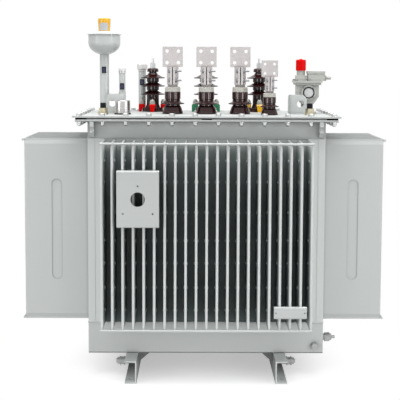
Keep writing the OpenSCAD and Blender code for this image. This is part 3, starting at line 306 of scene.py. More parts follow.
class EffectGroups:
    """Shader node groups that several finishes share. Each is built when a finish first asks for it."""

    slow_waves: ClassVar[float] = 3.0
    slow_detail: ClassVar[float] = 2.0
    fine_waves: ClassVar[float] = 160.0
    fine_detail: ClassVar[float] = 3.0
    grain_detail: ClassVar[float] = 2.0
    crevice_samples: ClassVar[int] = 6
    spread: ClassVar[ShadeSpread] = ShadeSpread()

    @staticmethod
    def start(name: str, inputs: dict[str, object], outputs: dict[str, str]
              ) -> tuple[ShaderTree, bpy.types.bpy_prop_collection, bpy.types.bpy_prop_collection]:
        """Starts a group with named sockets.

        Args:
            name: Name of the group.
            inputs: Default of each input, a number or a colour, by its name.
            outputs: Socket type of each output, by its name.

        Returns:
            The tree helper, the sockets that bring the inputs and those that take the outputs.
        """
        tree = bpy.data.node_groups.new(name, "ShaderNodeTree")
        for label, default in inputs.items():
            kind = "NodeSocketColor" if isinstance(default, tuple) else "NodeSocketFloat"
            tree.interface.new_socket(label, in_out="INPUT", socket_type=kind).default_value = default
        for label, kind in outputs.items():
            tree.interface.new_socket(label, in_out="OUTPUT", socket_type=kind)
        helper = ShaderTree(tree)
        return helper, helper.add("NodeGroupInput").outputs, helper.add("NodeGroupOutput").inputs

    @cached_property
    def tone(self) -> bpy.types.NodeTree:
        """Builds the slow drift of a finish's tone, with fine specks and painted shade in the crevices.

        Returns:
            The group: Colour, Drift, Specks, Scale, the crevice shade share and Reach in, Colour and Mask
                out.
        """
        tree, given, made = self.start(
            "surface_tone",
            {"Colour": (0.5, 0.5, 0.5, 1.0), "Drift": 0.06, "Specks": 0.03, "Scale": 1.0, "Crevice": 0.3,
             "Reach": 30 * MM},
            {"Colour": "NodeSocketColor", "Mask": "NodeSocketFloat"})
        place = tree.scaled(tree.place(), given["Scale"])
        slow = tree.noise(place, self.slow_waves, self.slow_detail)
        fine = tree.noise(place, self.fine_waves, self.fine_detail)
        drift = tree.product(tree.maths("SUBTRACT", slow, 0.5), given["Drift"])
        specks = tree.product(tree.maths("SUBTRACT", fine, 0.5), given["Specks"])
        total = tree.maths("ADD", tree.maths("ADD", drift, specks), 1.0)
        # Painted shade: ambient occlusion darkens the colour in crevices, corners and under ledges, as far as
        # Reach.
        open_sky = tree.add("ShaderNodeAmbientOcclusion", samples=self.crevice_samples)
        tree.link(given["Reach"], open_sky.inputs["Distance"])
        shade_share = tree.product(tree.maths("SUBTRACT", 1.0, open_sky.outputs["AO"]), given["Crevice"])
        total = tree.product(total, tree.maths("SUBTRACT", 1.0, shade_share, clamp=True))
        tree.link(tree.scaled(given["Colour"], total), made["Colour"])
        tree.link(slow, made["Mask"])
        return tree.tree

    @cached_property
    def grain(self) -> bpy.types.NodeTree:
        """Builds the height of a fine surface grain, such as orange peel or casting skin.

        Returns:
            The group: Scale and Depth in, Height out.
        """
        tree, given, made = self.start(
            "surface_grain", {"Scale": 300.0, "Depth": 0.3}, {"Height": "NodeSocketFloat"})
        grain = tree.noise(tree.place(), given["Scale"], self.grain_detail)
        tree.link(tree.product(grain, given["Depth"]), made["Height"])
        return tree.tree

    @cached_property
    def shade_group(self) -> bpy.types.NodeTree:
        """Builds the painted shade in the fin gaps, low on the tank and on the rails, and a dark band along a
        rim.

        Returns:
            The group: Gap, Low, Under and Rim shares and the rim's Edge height in, Shade out as a colour.
        """
        spread = self.spread
        wall_low, wall_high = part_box("back_fin_wall")
        rail_low, rail_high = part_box("right_base_rail")
        tree, given, made = self.start(
            "painted_shade_tree", {"Gap": 0.7, "Low": 0.3, "Under": 0.0, "Rim": 0.0, "Edge": 0.0},
            {"Shade": "NodeSocketColor"})
        place = tree.place()
        axes = tree.add("ShaderNodeSeparateXYZ")
        tree.link(place, axes.inputs[0])
        across = tree.maths("ABSOLUTE", axes.outputs["X"])
        along = tree.maths("ABSOLUTE", axes.outputs["Y"])
        height = axes.outputs["Z"]
        cloud = tree.noise(place, spread.cloud_waves, spread.cloud_detail)
        uneven = tree.maths("MULTIPLY_ADD", cloud, spread.cloud_swing, spread.cloud_least)
        # Painted shade in the fin gaps: darker deeper between the fins and lower down, lighter near the top
        # of the wall.
        deep = tree.ramp(along, wall_high.y - spread.tip_unshaded, wall_low.y + spread.root_full)
        inside = tree.ramp(across, FIN_SPAN + spread.span_blur, FIN_SPAN - spread.span_blur)
        below = tree.ramp(height, *(wall_high.z - drop for drop in spread.gap_start))
        rise = tree.ramp(height, *(wall_high.z - drop for drop in spread.gap_full))
        rise = tree.maths("MULTIPLY_ADD", rise, 1.0 - spread.gap_high_share, spread.gap_high_share)
        amount = tree.product(deep, inside, below, rise, given["Gap"])
        amount = tree.maths("MULTIPLY", amount, uneven, clamp=True)
        # Painted shade low on the tank, darker towards the floor.
        foot = tree.product(tree.ramp(height, *spread.foot), given["Low"])
        foot = tree.maths("MULTIPLY", foot, uneven, clamp=True)
        # Painted shadow on the rails under the tank: the inner webs, and the parts behind their front ends
        # below the top flange.
        depth = tree.ramp(along, *spread.rail_depth)
        web = tree.maths("MULTIPLY_ADD", depth, 1.0 - spread.web_share, spread.web_share)
        between = tree.product(tree.ramp(across, rail_low.x + spread.blur, rail_low.x), web)
        behind = tree.product(depth, tree.ramp(height, *(rail_high.z - drop for drop in spread.rail_drop)))
        under = tree.product(tree.maths("MAXIMUM", between, behind), given["Under"])
        # Dark band along a rim: painted shadow under the flange, a dark line along the skirt's bottom edge.
        away = tree.maths("ABSOLUTE", tree.maths("SUBTRACT", height, given["Edge"]))
        rim = tree.product(tree.ramp(away, spread.rim_height + spread.blur, spread.rim_height), given["Rim"])
        unshaded = tree.product(*(tree.maths("SUBTRACT", 1.0, shade_share) for shade_share in (foot, under, rim)))
        gap = tree.maths("SUBTRACT", 1.0, amount)
        rest = tree.product(unshaded, gap)
        # The painted gap shade is tinted blue-green by a weaker red channel.
        tint = tree.add("ShaderNodeCombineXYZ")
        red = tree.product(unshaded, tree.maths("POWER", gap, spread.red_power))
        tree.fill(tint, {"X": red, "Y": rest, "Z": rest})
        tree.link(tint.outputs[0], made["Shade"])
        return tree.tree


EFFECTS = EffectGroups()


def new_material(name: str) -> tuple[bpy.types.Material, ShaderTree, bpy.types.Node]:
    """Makes a material with one shader.

    Args:
        name: Name of the material.

    Returns:
        The material, its tree helper and its shader node.
    """
    material = bpy.data.materials.new(name)
    material.use_nodes = True
    return material, ShaderTree(material.node_tree), material.node_tree.nodes["Principled BSDF"]


@dataclass(frozen=True)
class Finish:
    """Opaque finish: a toned base colour, a grain in the surface and a sheen."""

    name: str
    colour: Colour
    roughness: float
    metallic: float = 0.0
    specular: float = 0.5
    coat: float = 0.0
    coat_roughness: float = 0.1
    drift: float = 0.06
    specks: float = 0.03
    tone_scale: float = 1.0
    grain_scale: float = 300.0
    grain_depth: float = 0.25
    bump: float = 0.05
    rough_drift: float = 0.08
    # Share of painted shade in crevices and corners, and how far it looks for them.
    crevice_shade: float = 0.35
    reach: float = 15 * MM

    def start(self) -> tuple[bpy.types.Material, ShaderTree, bpy.types.Node]:
        """Makes the material with its constants on the shader's own sockets.

        Returns:
            The material, its tree helper and its shader node.
        """
        material, tree, shader = new_material(self.name)
        tree.fill(shader, {"Metallic": self.metallic, "Specular IOR Level": self.specular,
                           "Coat Weight": self.coat, "Coat Roughness": self.coat_roughness})
        return material, tree, shader

    def toned(self, tree: ShaderTree) -> bpy.types.Node:
        """Adds the shared tone group with this finish's values.

        Args:
            tree: The material's tree helper.

        Returns:
            The group node.
        """
        return tree.group(EFFECTS.tone, Colour=(*self.colour, 1.0), Drift=self.drift, Specks=self.specks,
                          Scale=self.tone_scale, Crevice=self.crevice_shade, Reach=self.reach)

    def dress(self, tree: ShaderTree, shader: bpy.types.Node, colour: bpy.types.NodeSocket,
              mask: bpy.types.NodeSocket) -> bpy.types.Node:
        """Links colour, roughness and grain to the shader.

        Args:
            tree: The material's tree helper.
            shader: The shader node.
            colour: Colour over the surface.
            mask: Slow value that also shifts the roughness.

        Returns:
            The bump node that feeds the shader's normal.
        """
        rough = tree.maths("MULTIPLY_ADD", mask, self.rough_drift, self.roughness - self.rough_drift / 2)
        grain = tree.group(EFFECTS.grain, Scale=self.grain_scale, Depth=self.grain_depth)
        bump = tree.add("ShaderNodeBump")
        tree.fill(bump, {"Strength": self.bump, "Distance": MM, "Height": grain.outputs["Height"]})
        tree.fill(shader, {"Base Color": colour, "Roughness": rough, "Normal": bump.outputs["Normal"]})
        return bump

    def material(self) -> bpy.types.Material:
        """Builds the finish.

        Returns:
            The finished material.
        """
        material, tree, shader = self.start()
        tone = self.toned(tree)
        self.dress(tree, shader, tone.outputs["Colour"], tone.outputs["Mask"])
        return material


@dataclass(frozen=True)
class PaintFinish(Finish):
    """Tank paint with rounded edges, and painted shade in the fin gaps, low down, on the rails and in a dark
    band along a rim.
    """

    edge_radius: float = 1.5 * MM
    edge_samples: int = 4
    # Shares of painted shade in the fin gaps, low down and under the tank on the rails, and of a dark band
    # along the rim of rim_node.
    gap_shade: float = 0.0
    low_shade: float = 0.12
    under_shade: float = 0.0
    rim_dark_band: float = 0.0
    rim_node: str = "lower_frame"

    def material(self) -> bpy.types.Material:
        """Builds the paint.

        Returns:
            The finished material.
        """
        material, tree, shader = self.start()
        tone = self.toned(tree)
        # Painted shade multiplies the toned colour.
        shade_group = tree.group(EFFECTS.shade_group, Gap=self.gap_shade, Low=self.low_shade, Under=self.under_shade,
                           Rim=self.rim_dark_band, Edge=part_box(self.rim_node)[0].z)
        shaded = tree.add("ShaderNodeVectorMath", operation="MULTIPLY")
        tree.link(tone.outputs["Colour"], shaded.inputs[0])
        tree.link(shade_group.outputs["Shade"], shaded.inputs[1])
        bump = self.dress(tree, shader, shaded.outputs[0], tone.outputs["Mask"])
        rounded = tree.add("ShaderNodeBevel", samples=self.edge_samples)
        rounded.inputs["Radius"].default_value = self.edge_radius
        tree.link(rounded.outputs["Normal"], bump.inputs["Normal"])
        return material


@dataclass(frozen=True)
class GlassFinish:
    """Clear sight glass with a faint tint."""

    name: str
    colour: Colour
    roughness: float = 0.03
    rough_drift: float = 0.04
    transmission: float = 0.25
    ior: float = 1.45

    def material(self) -> bpy.types.Material:
        """Builds the glass.

        Returns:
            The finished material.
        """
        material, tree, shader = new_material(self.name)
        # The tone group's default crevice share paints shade into the glass's corners.
        tone = tree.group(EFFECTS.tone, Colour=(*self.colour, 1.0))
        rough = tree.maths("MULTIPLY_ADD", tone.outputs["Mask"], self.rough_drift, self.roughness)
        tree.fill(shader, {"Transmission Weight": self.transmission, "IOR": self.ior,
                           "Base Color": tone.outputs["Colour"], "Roughness": rough})
        return material


# Each crevice value below paints shade into the finish's crevices and corners; finishes without one take the
# default.
FINISHES: dict[Slot, Finish | GlassFinish] = {
    Slot.PAINT: PaintFinish("grey_paint", (0.548, 0.573, 0.563), 0.38, coat=0.55, coat_roughness=0.10,
                            drift=0.05, specks=0.03, grain_scale=420.0, bump=0.06, crevice_shade=0.55,
                            reach=22 * MM),
    Slot.ZINC: Finish("zinc_plate", (0.66, 0.67, 0.67), 0.30, metallic=1.0, drift=0.25, specks=0.15,
                      tone_scale=6.0, grain_scale=700.0),
    Slot.TIN: Finish("tinned_copper", (0.58, 0.55, 0.545), 0.45, metallic=0.35, drift=0.12, specks=0.08,
                     tone_scale=5.0, grain_scale=900.0, crevice_shade=0.75),
    Slot.PORCELAIN: Finish("brown_glaze", (0.024, 0.0040, 0.0042), 0.05, specular=0.42, drift=0.7, specks=0.3,
                           tone_scale=7.0, grain_scale=90.0, bump=0.02),
    Slot.CREAM: Finish("cream_moulding", (0.48, 0.475, 0.43), 0.42, drift=0.12, tone_scale=6.0),
    Slot.RED: Finish("red_enamel", (0.76, 0.003, 0.003), 0.35, specular=0.06, drift=0.2),
    Slot.GREEN: Finish("green_enamel", (0.006, 0.25, 0.10), 0.25, coat=0.3, drift=0.2),
    Slot.YELLOW: Finish("yellow_enamel", (0.88, 0.47, 0.008), 0.28, coat=0.3, drift=0.1),
    Slot.WHITE: Finish("white_moulding", (0.78, 0.78, 0.77), 0.40, drift=0.05),
    Slot.BLACK: Finish("black_moulding", (0.007, 0.007, 0.009), 0.35, drift=0.4, specular=0.15),
    Slot.RUBBER: Finish("black_rubber", (0.006, 0.006, 0.006), 0.7, drift=0.4, specular=0.05),
    Slot.WINDOW: Finish("blue_window", (0.008, 0.012, 0.075), 0.12, coat=0.5, drift=0.4),
    Slot.POLISHED: Finish("polished_steel", (0.54, 0.53, 0.525), 0.22, metallic=1.0, drift=0.05,
                          specks=0.02, bump=0.01),
    Slot.BRASS: Finish("brass", (0.62, 0.56, 0.40), 0.30, metallic=1.0, drift=0.3, tone_scale=8.0),
    Slot.GLASS: GlassFinish("sight_glass", (0.86, 0.87, 0.87)),
}


# Fin paint: lighter than the grey paint as painted light on the fins, with painted shade deep in the fin
# gaps.
FIN_PAINT = PaintFinish("fin_paint", (0.660, 0.688, 0.677), 0.40, coat=0.10, coat_roughness=0.22,
                        drift=0.05, specks=0.03, grain_scale=420.0, bump=0.06, gap_shade=0.84, crevice_shade=0.1)
CASTING = PaintFinish("casting_paint", (0.475, 0.485, 0.455), 0.45, coat=0.05, drift=0.08, specks=0.06,
                      tone_scale=4.0, grain_scale=260.0, grain_depth=0.5, bump=0.15)
# Same lighter colour as the fins: painted light on the corner posts.
POST_PAINT = replace(FIN_PAINT, name="post_paint", gap_shade=0.0)
COVER_PAINT = replace(POST_PAINT, name="cover_paint", colour=(0.545, 0.567, 0.558), roughness=0.60, coat=0.0,
                      crevice_shade=0.25)
# Rails: a still lighter copy of the grey paint as painted light, and painted shadow under the tank.
RAIL_PAINT = replace(POST_PAINT, name="rail_paint", colour=(0.710, 0.740, 0.728), specular=0.05, coat=0.0,
                     under_shade=0.94)
# Gussets: weaker painted shadow under the tank.
GUSSET_PAINT = replace(RAIL_PAINT, name="gusset_paint", under_shade=0.70)
# Skirt: a dark line along its bottom edge.
SKIRT_PAINT = replace(FINISHES[Slot.PAINT], name="skirt_paint", rim_dark_band=0.75)
# Painted shadow under the flange: along its lower edge and the top of the band beneath it.
FLANGE_SHADOW_PAINT = replace(SKIRT_PAINT, name="flange_shadow_paint", rim_dark_band=0.55, rim_node="tank_flange")
BOLT_STEEL = Finish("bolt_steel", (0.30, 0.30, 0.31), 0.34, metallic=1.0, drift=0.3, specks=0.2,
                    tone_scale=8.0)
DULL_ZINC = replace(BOLT_STEEL, name="dull_zinc", colour=(0.40, 0.41, 0.40), roughness=0.42, metallic=0.6)
PANEL = Finish("pale_panel", (0.52, 0.52, 0.53), 0.40, drift=0.3, specks=0.2, tone_scale=12.0, crevice_shade=0.8)
SPECIAL_NODES: dict[str, Finish] = {
    "front_fin_wall": FIN_PAINT, "back_fin_wall": FIN_PAINT, "corner_posts": POST_PAINT,
    "cover_plate": COVER_PAINT, "lower_frame": SKIRT_PAINT, "tank_flange": FLANGE_SHADOW_PAINT,
    "upper_frame": FLANGE_SHADOW_PAINT, "left_base_rail": RAIL_PAINT, "right_base_rail": RAIL_PAINT,
    "rail_gussets": GUSSET_PAINT, "relay_body": CASTING, "relay_head": CASTING, "drain_valve": DULL_ZINC,
    "earth_studs": DULL_ZINC}


class Wardrobe:
    """Makes each finish once and gives it to the CAD nodes."""

    def __init__(self) -> None:
        """Builds every finish."""
        self.materials: dict[Slot, bpy.types.Material] = {
            slot: finish.material() for slot, finish in FINISHES.items()}
        special = dict.fromkeys((*SPECIAL_NODES.values(), BOLT_STEEL, PANEL))
        self.special: dict[Finish, bpy.types.Material] = {finish: finish.material() for finish in special}

    def dress_nodes(self) -> None:
        """Assigns to every CAD node its own finish or that of its slot in the record."""
        for part in frame["record"]["subparts"]:
            node = frame["nodes"][part["node"]]
            if part["node"] in SPECIAL_NODES:
                material = self.special[SPECIAL_NODES[part["node"]]]
            else:
                material = self.materials[Slot(part["material_slot"])]
            node.data.materials.clear()
            node.data.materials.append(material)
        LOG.info("dressed %d nodes", len(frame["nodes"]))


def placed(name: str, data: bpy.types.ID) -> bpy.types.Object:
    """Makes an object and puts it into the scene.

    Args:
        name: Name of the object.
        data: Its mesh, light or camera.

    Returns:
        The object.
    """
    made = bpy.data.objects.new(name, data)
    bpy.context.scene.collection.objects.link(made)
    return made


def turns(count: int, start: float = 0.0) -> list[tuple[float, float]]:
    """Goes round a circle in even steps.

    Args:
        count: Number of steps.
        start: Where the first one is, in steps.

    Returns:
        Cosine and sine at each step.
    """
    angles = [2 * math.pi * (step + start) / count for step in range(count)]
    return [(math.cos(angle), math.sin(angle)) for angle in angles]


class GeometryTree(TreeHelper):
    """Adds the shapes of a geometry tree."""

    def __init__(self, name: str) -> None:
        """Starts a tree that puts out one geometry.

        Args:
            name: Name of the tree.
        """
        super().__init__(bpy.data.node_groups.new(name, "GeometryNodeTree"))
        for way in ("INPUT", "OUTPUT"):
            self.tree.interface.new_socket("Geometry", in_out=way, socket_type="NodeSocketGeometry")
        self.source = self.add("NodeGroupInput")
        self.result = self.add("NodeGroupOutput")

    def size(self, name: str) -> bpy.types.NodeSocket:
        """Adds a named input for a size.

        Args:
            name: Name of the input.

        Returns:
            The input's socket inside the tree.
        """
        self.tree.interface.new_socket(name, in_out="INPUT", socket_type="NodeSocketFloat")
        return self.source.outputs[name]

    def prism(self, sides: int, radius: bpy.types.NodeSocket, height: bpy.types.NodeSocket, base: object
              ) -> bpy.types.NodeSocket:
        """Adds an upright prism that stands on the given height.

        Args:
            sides: Number of sides.
            radius: Radius through the corners.
            height: Height of the prism.
            base: Height of its underside, a socket or a number.

        Returns:
            The prism's geometry.
        """
        node = self.add("GeometryNodeMeshCylinder", fill_type="NGON")
        self.fill(node, {"Vertices": sides, "Radius": radius, "Depth": height})
        return self.lift(node.outputs["Mesh"], self.maths("ADD", base, self.product(height, 0.5)))

    def cone(self, sides: int, bottom: bpy.types.NodeSocket, top: bpy.types.NodeSocket,
             height: bpy.types.NodeSocket) -> bpy.types.NodeSocket:
        """Adds an upright cone without a tip that stands on the origin.

        Args:
            sides: Number of sides.
            bottom: Radius at the bottom.
            top: Radius at the top.
            height: Height of the cone.

        Returns:
            The cone's geometry.
        """
        node = self.add("GeometryNodeMeshCone", fill_type="NGON")
        self.fill(node, {"Vertices": sides, "Radius Bottom": bottom, "Radius Top": top, "Depth": height})
        return node.outputs["Mesh"]

    def lift(self, geometry: bpy.types.NodeSocket, height: bpy.types.NodeSocket) -> bpy.types.NodeSocket:
        """Moves a geometry up.

        Args:
            geometry: The geometry.
            height: How far it moves.

        Returns:
            The moved geometry.
        """
        place = self.add("ShaderNodeCombineXYZ")
        self.link(height, place.inputs["Z"])
        move = self.add("GeometryNodeTransform")
        self.fill(move, {"Geometry": geometry, "Translation": place.outputs[0]})
        return move.outputs["Geometry"]

    def join(self, parts: Iterable[bpy.types.NodeSocket]) -> bpy.types.NodeSocket:
        """Joins geometries.

        Args:
            parts: Geometry sockets.

        Returns:
            The joined geometry.
        """
        node = self.add("GeometryNodeJoinGeometry")
        for part in parts:
            self.link(part, node.inputs[0])
        return node.outputs[0]

    def finish(self, geometry: bpy.types.NodeSocket, material: bpy.types.Material, smooth: bool) -> None:
        """Ends the tree with realized instances, shading and the material.

        Args:
            geometry: The last geometry.
            material: Finish of the result.
            smooth: Whether faces are shaded smooth.
        """
        real = self.add("GeometryNodeRealizeInstances")
        shade = self.add("GeometryNodeSetShadeSmooth")
        shade.inputs["Shade Smooth"].default_value = smooth
        paint = self.add("GeometryNodeSetMaterial")
        paint.inputs["Material"].default_value = material
        self.link(geometry, real.inputs[0])
        self.link(real.outputs[0], shade.inputs["Geometry"])
        self.link(shade.outputs["Geometry"], paint.inputs["Geometry"])
        self.link(paint.outputs["Geometry"], self.result.inputs["Geometry"])


@dataclass
class Places:
    """Points with a direction each, on which a repeated shape is put."""

    points: list[Point] = field(default_factory=list)
    axes: list[Point] = field(default_factory=list)

    def add(self, point: Point, side: Side | Point) -> None:
        """Adds one place.

        Args:
            point: Where the shape stands, in metres.
            side: Where its axis points.
        """
        self.points.append(point)
        self.axes.append(side.value if isinstance(side, Side) else side)

    def mesh(self, name: str) -> bpy.types.Mesh:
        """Makes a mesh of loose points that carry their axis.

        Args:
            name: Name of the mesh.

        Returns:
            The mesh.
        """
        mesh = bpy.data.meshes.new(name)
        mesh.from_pydata(self.points, [], [])
        axis = mesh.attributes.new("axis", "FLOAT_VECTOR", "POINT")
        axis.data.foreach_set("vector", [value for vector in self.axes for value in vector])
        return mesh


def plain_piece(name: str, mesh: bpy.types.Mesh, material: bpy.types.Material | None
                ) -> bpy.types.Object:
    """Makes a mesh a piece of the body.

    Args:
        name: Name of the piece.
        mesh: Its mesh, in place.
        material: Finish of the piece, or None where the mesh has one.

    Returns:
        The finished piece, riding on the body.
    """
    if material is not None:
        mesh.materials.append(material)
    piece = placed(name, mesh)
    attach(piece, BODY)
    LOG.info("%s: %d faces", name, len(mesh.polygons))
    return piece


def box_piece(name: str, boxes: Sequence[tuple[Point, Point]], material: bpy.types.Material
              ) -> bpy.types.Object:
    """Makes one piece of plain boxes.

    Args:
        name: Name of the piece.
        boxes: Lowest and highest corner of each box.
        material: Finish of the piece.

    Returns:
        The finished piece, riding on the body.
    """
    points: list[Point] = []
    faces: list[tuple[int, ...]] = []
    for low, high in boxes:
        start = len(points)
        for y in (low[1], high[1]):
            points += [(low[0], y, low[2]), (high[0], y, low[2]), (high[0], y, high[2]), (low[0], y, high[2])]
        for face in ((0, 1, 2, 3), (7, 6, 5, 4), (0, 4, 5, 1), (1, 5, 6, 2), (2, 6, 7, 3), (3, 7, 4, 0)):
            faces.append(tuple(start + i for i in face))
    mesh = bpy.data.meshes.new(name)
    mesh.from_pydata(points, [], faces)
    return plain_piece(name, mesh, material)


def bake(name: str, mesh: bpy.types.Mesh, tree: GeometryTree, sizes: dict[str, object]
         ) -> bpy.types.Object:
    """Runs a geometry tree on a mesh and keeps the result as a plain piece.

    Args:
        name: Name of the piece.
        mesh: Mesh that the tree starts from.
        tree: The geometry tree.
        sizes: Values for the tree's named inputs.

    Returns:
        The finished piece, riding on the body.
    """
    carrier = placed(name + "_carrier", mesh)
    modifier = carrier.modifiers.new("build", "NODES")
    modifier.node_group = tree.tree
    for item in tree.tree.interface.items_tree:
        if item.in_out == "INPUT" and item.name in sizes:
            modifier[item.identifier] = sizes[item.name]
    evaluated = carrier.evaluated_get(bpy.context.evaluated_depsgraph_get())
    result = bpy.data.meshes.new_from_object(evaluated)
    result.name = name
    carrier.modifiers.remove(modifier)
    bpy.data.objects.remove(carrier)
    return plain_piece(name, result, None)


@dataclass(frozen=True)
class RepeatedShape:
    """Small shape that stands on many places: a low cone without a tip, as a pressing in sheet metal."""

    width: float
    height: float
    sides: ClassVar[int] = 8
    top_share: ClassVar[float] = 0.28

    def sizes(self) -> dict[str, float]:
        """Values for the tree's named inputs."""
        return {"Width": self.width, "Height": self.height}

    def shape(self, tree: GeometryTree) -> bpy.types.NodeSocket:
        """Adds the shape, here the cone.

        Args:
            tree: Tree to add to.

        Returns:
            The shape's geometry.
        """
        width, height = tree.size("Width"), tree.size("Height")
        return tree.cone(self.sides, tree.product(width, 0.5), tree.product(width, self.top_share), height)

    def tree(self, name: str, material: bpy.types.Material) -> GeometryTree:
        """Builds the tree that puts this shape on every place.

        Args:
            name: Name of the tree.
            material: Finish of the shape.

        Returns:
            The tree, with the shape's sizes as inputs.
        """
        tree = GeometryTree(name)
        shape = self.shape(tree)
        spread = tree.add("GeometryNodeInstanceOnPoints")
        axis = tree.add("GeometryNodeInputNamedAttribute", data_type="FLOAT_VECTOR")
        axis.inputs["Name"].default_value = "axis"
        turn = tree.add("FunctionNodeAlignRotationToVector", axis="Z")
        tree.link(axis.outputs["Attribute"], turn.inputs["Vector"])
        tree.fill(spread, {"Points": tree.source.outputs["Geometry"], "Instance": shape,
                           "Rotation": turn.outputs[0]})
        tree.finish(spread.outputs["Instances"], material, smooth=False)
        return tree

    def put(self, name: str, places: Places, material: bpy.types.Material, slot: Slot) -> bpy.types.Object:
        """Puts the shape on every place as one piece.

        Args:
            name: Name of the piece.
            places: Where the shapes stand.
            material: Finish of the shapes.
            slot: Material slot of the record; not used.

        Returns:
            The finished piece.
        """
        return bake(name, places.mesh(name), self.tree(name, material), self.sizes())


@dataclass(frozen=True)
class GripRib(RepeatedShape):
    """Upright rib of a cap that is turned by hand."""

    def shape(self, tree: GeometryTree) -> bpy.types.NodeSocket:
        """Adds the rib as an upright bar.

        Args:
            tree: Tree to add to.

        Returns:
            The rib's geometry.
        """
        return tree.prism(self.sides, tree.product(tree.size("Width"), 0.5), tree.size("Height"), 0.0)


@dataclass(frozen=True)
class HexFastener(RepeatedShape):
    """Hexagon head or nut on a washer, with the end of its thread above it where it has one."""

    washer: float = 0.0
    washer_t: float = 0.0
    thread: float = 0.0
    thread_out: float = 0.0
    washer_sides: ClassVar[int] = 24
    thread_sides: ClassVar[int] = 16
    straight_share: ClassVar[float] = 0.85
    crown_share: ClassVar[float] = 0.47

    def sizes(self) -> dict[str, float]:
        """Values for the tree's named inputs."""
        return {**super().sizes(), "Washer": self.washer, "Washer thickness": self.washer_t,
                "Thread": self.thread, "Thread length": self.thread_out}

    def scaled(self, share: float) -> "HexFastener":
        """A copy with every size scaled."""
        return HexFastener(*(size * share for size in astuple(self)))

    def shape(self, tree: GeometryTree) -> bpy.types.NodeSocket:
        """Adds the washer, the straight part of the hexagon, its crown and the thread end.

        Args:
            tree: Tree to add to.

        Returns:
            The fastener's geometry.
        """
        flats, height = tree.size("Width"), tree.size("Height")
        washer, washer_t = tree.size("Washer"), tree.size("Washer thickness")
        body = tree.product(height, self.straight_share)
        crown = self.crown(tree, flats, tree.maths("SUBTRACT", height, body))
        parts = [tree.prism(self.washer_sides, tree.product(washer, 0.5), washer_t, 0.0),
                 tree.prism(6, tree.product(flats, HEX_CORNER), body, washer_t),
                 tree.lift(crown, tree.maths("ADD", washer_t, body))]
        if self.thread_out > 0:
            thread, length = tree.size("Thread"), tree.size("Thread length")
            top = tree.maths("ADD", washer_t, height)
            parts.append(tree.prism(self.thread_sides, tree.product(thread, 0.5), length, top))
        return tree.join(parts)

    def crown(self, tree: GeometryTree, flats: bpy.types.NodeSocket, height: bpy.types.NodeSocket
              ) -> bpy.types.NodeSocket:
        """Adds the chamfered top of the hexagon.

        Args:
            tree: Tree to add to.
            flats: Width of the hexagon across its flats.
            height: Height of the top.

        Returns:
            The top's geometry, standing on the origin.
        """
        return tree.cone(6, tree.product(flats, HEX_CORNER), tree.product(flats, self.crown_share), height)


@dataclass(frozen=True)
class DomeNut(HexFastener):
    """Cap nut with a round top on a washer."""

    straight_share: ClassVar[float] = 0.5
    crown_share: ClassVar[float] = 0.49
    segments: ClassVar[int] = 20
    rings: ClassVar[int] = 12

    def crown(self, tree: GeometryTree, flats: bpy.types.NodeSocket, height: bpy.types.NodeSocket
              ) -> bpy.types.NodeSocket:
        """Adds the round cap.

        Args:
            tree: Tree to add to.
            flats: Width of the hexagon across its flats.
            height: Height of the cap.

        Returns:
            The cap's geometry, with its middle on the origin.
        """
        ball = tree.add("GeometryNodeMeshUVSphere")
        tree.fill(ball, {"Segments": self.segments, "Rings": self.rings, "Radius": 1.0})
        half = tree.product(flats, self.crown_share)
        size = tree.add("ShaderNodeCombineXYZ")
        tree.fill(size, {"X": half, "Y": half, "Z": height})
        squash = tree.add("GeometryNodeTransform")
        tree.fill(squash, {"Geometry": ball.outputs["Mesh"], "Scale": size.outputs[0]})
        return squash.outputs["Geometry"]


@dataclass
class FlangeBolts:
    """Bolts through the cover and the tank flange, all round."""

    pitch: float = 113 * MM
    edge: float = 19 * MM
    head: HexFastener = HexFastener(24 * MM, 11 * MM, 30 * MM, 2.5 * MM)
    nut: DomeNut = DomeNut(24 * MM, 20 * MM, 29 * MM, 2.5 * MM)

    def line(self, length: float) -> list[float]:
        """Places of the bolts along one side.

        Args:
            length: Distance between the corner bolts.

        Returns:
            Places about the middle of the side.
        """
        count = max(1, round(length / self.pitch))
        return [length * (i / count - 0.5) for i in range(count + 1)]

    def build(self, wardrobe: Wardrobe) -> None:
        """Puts heads on the cover and nuts under the flange.

        Args:
            wardrobe: The finishes.
        """
        low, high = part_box("tank_flange")
        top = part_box("cover_plate")[1].z
        half_w, half_d = high.x - self.edge, high.y - self.edge
        ring = [(x, s * half_d) for s in (-1, 1) for x in self.line(2 * half_w)]
        ring += [(s * half_w, y) for s in (-1, 1) for y in self.line(2 * half_d)[1:-1]]
        heads, nuts = Places(), Places()
        for x, y in ring:
            heads.add((x, y, top), Side.UP)
            nuts.add((x, y, low.z), Side.DOWN)
        material = wardrobe.materials[Slot.ZINC]
        self.head.put("flange_bolt_heads", heads, material, Slot.ZINC)
        self.nut.put("flange_bolt_nuts", nuts, material, Slot.ZINC)


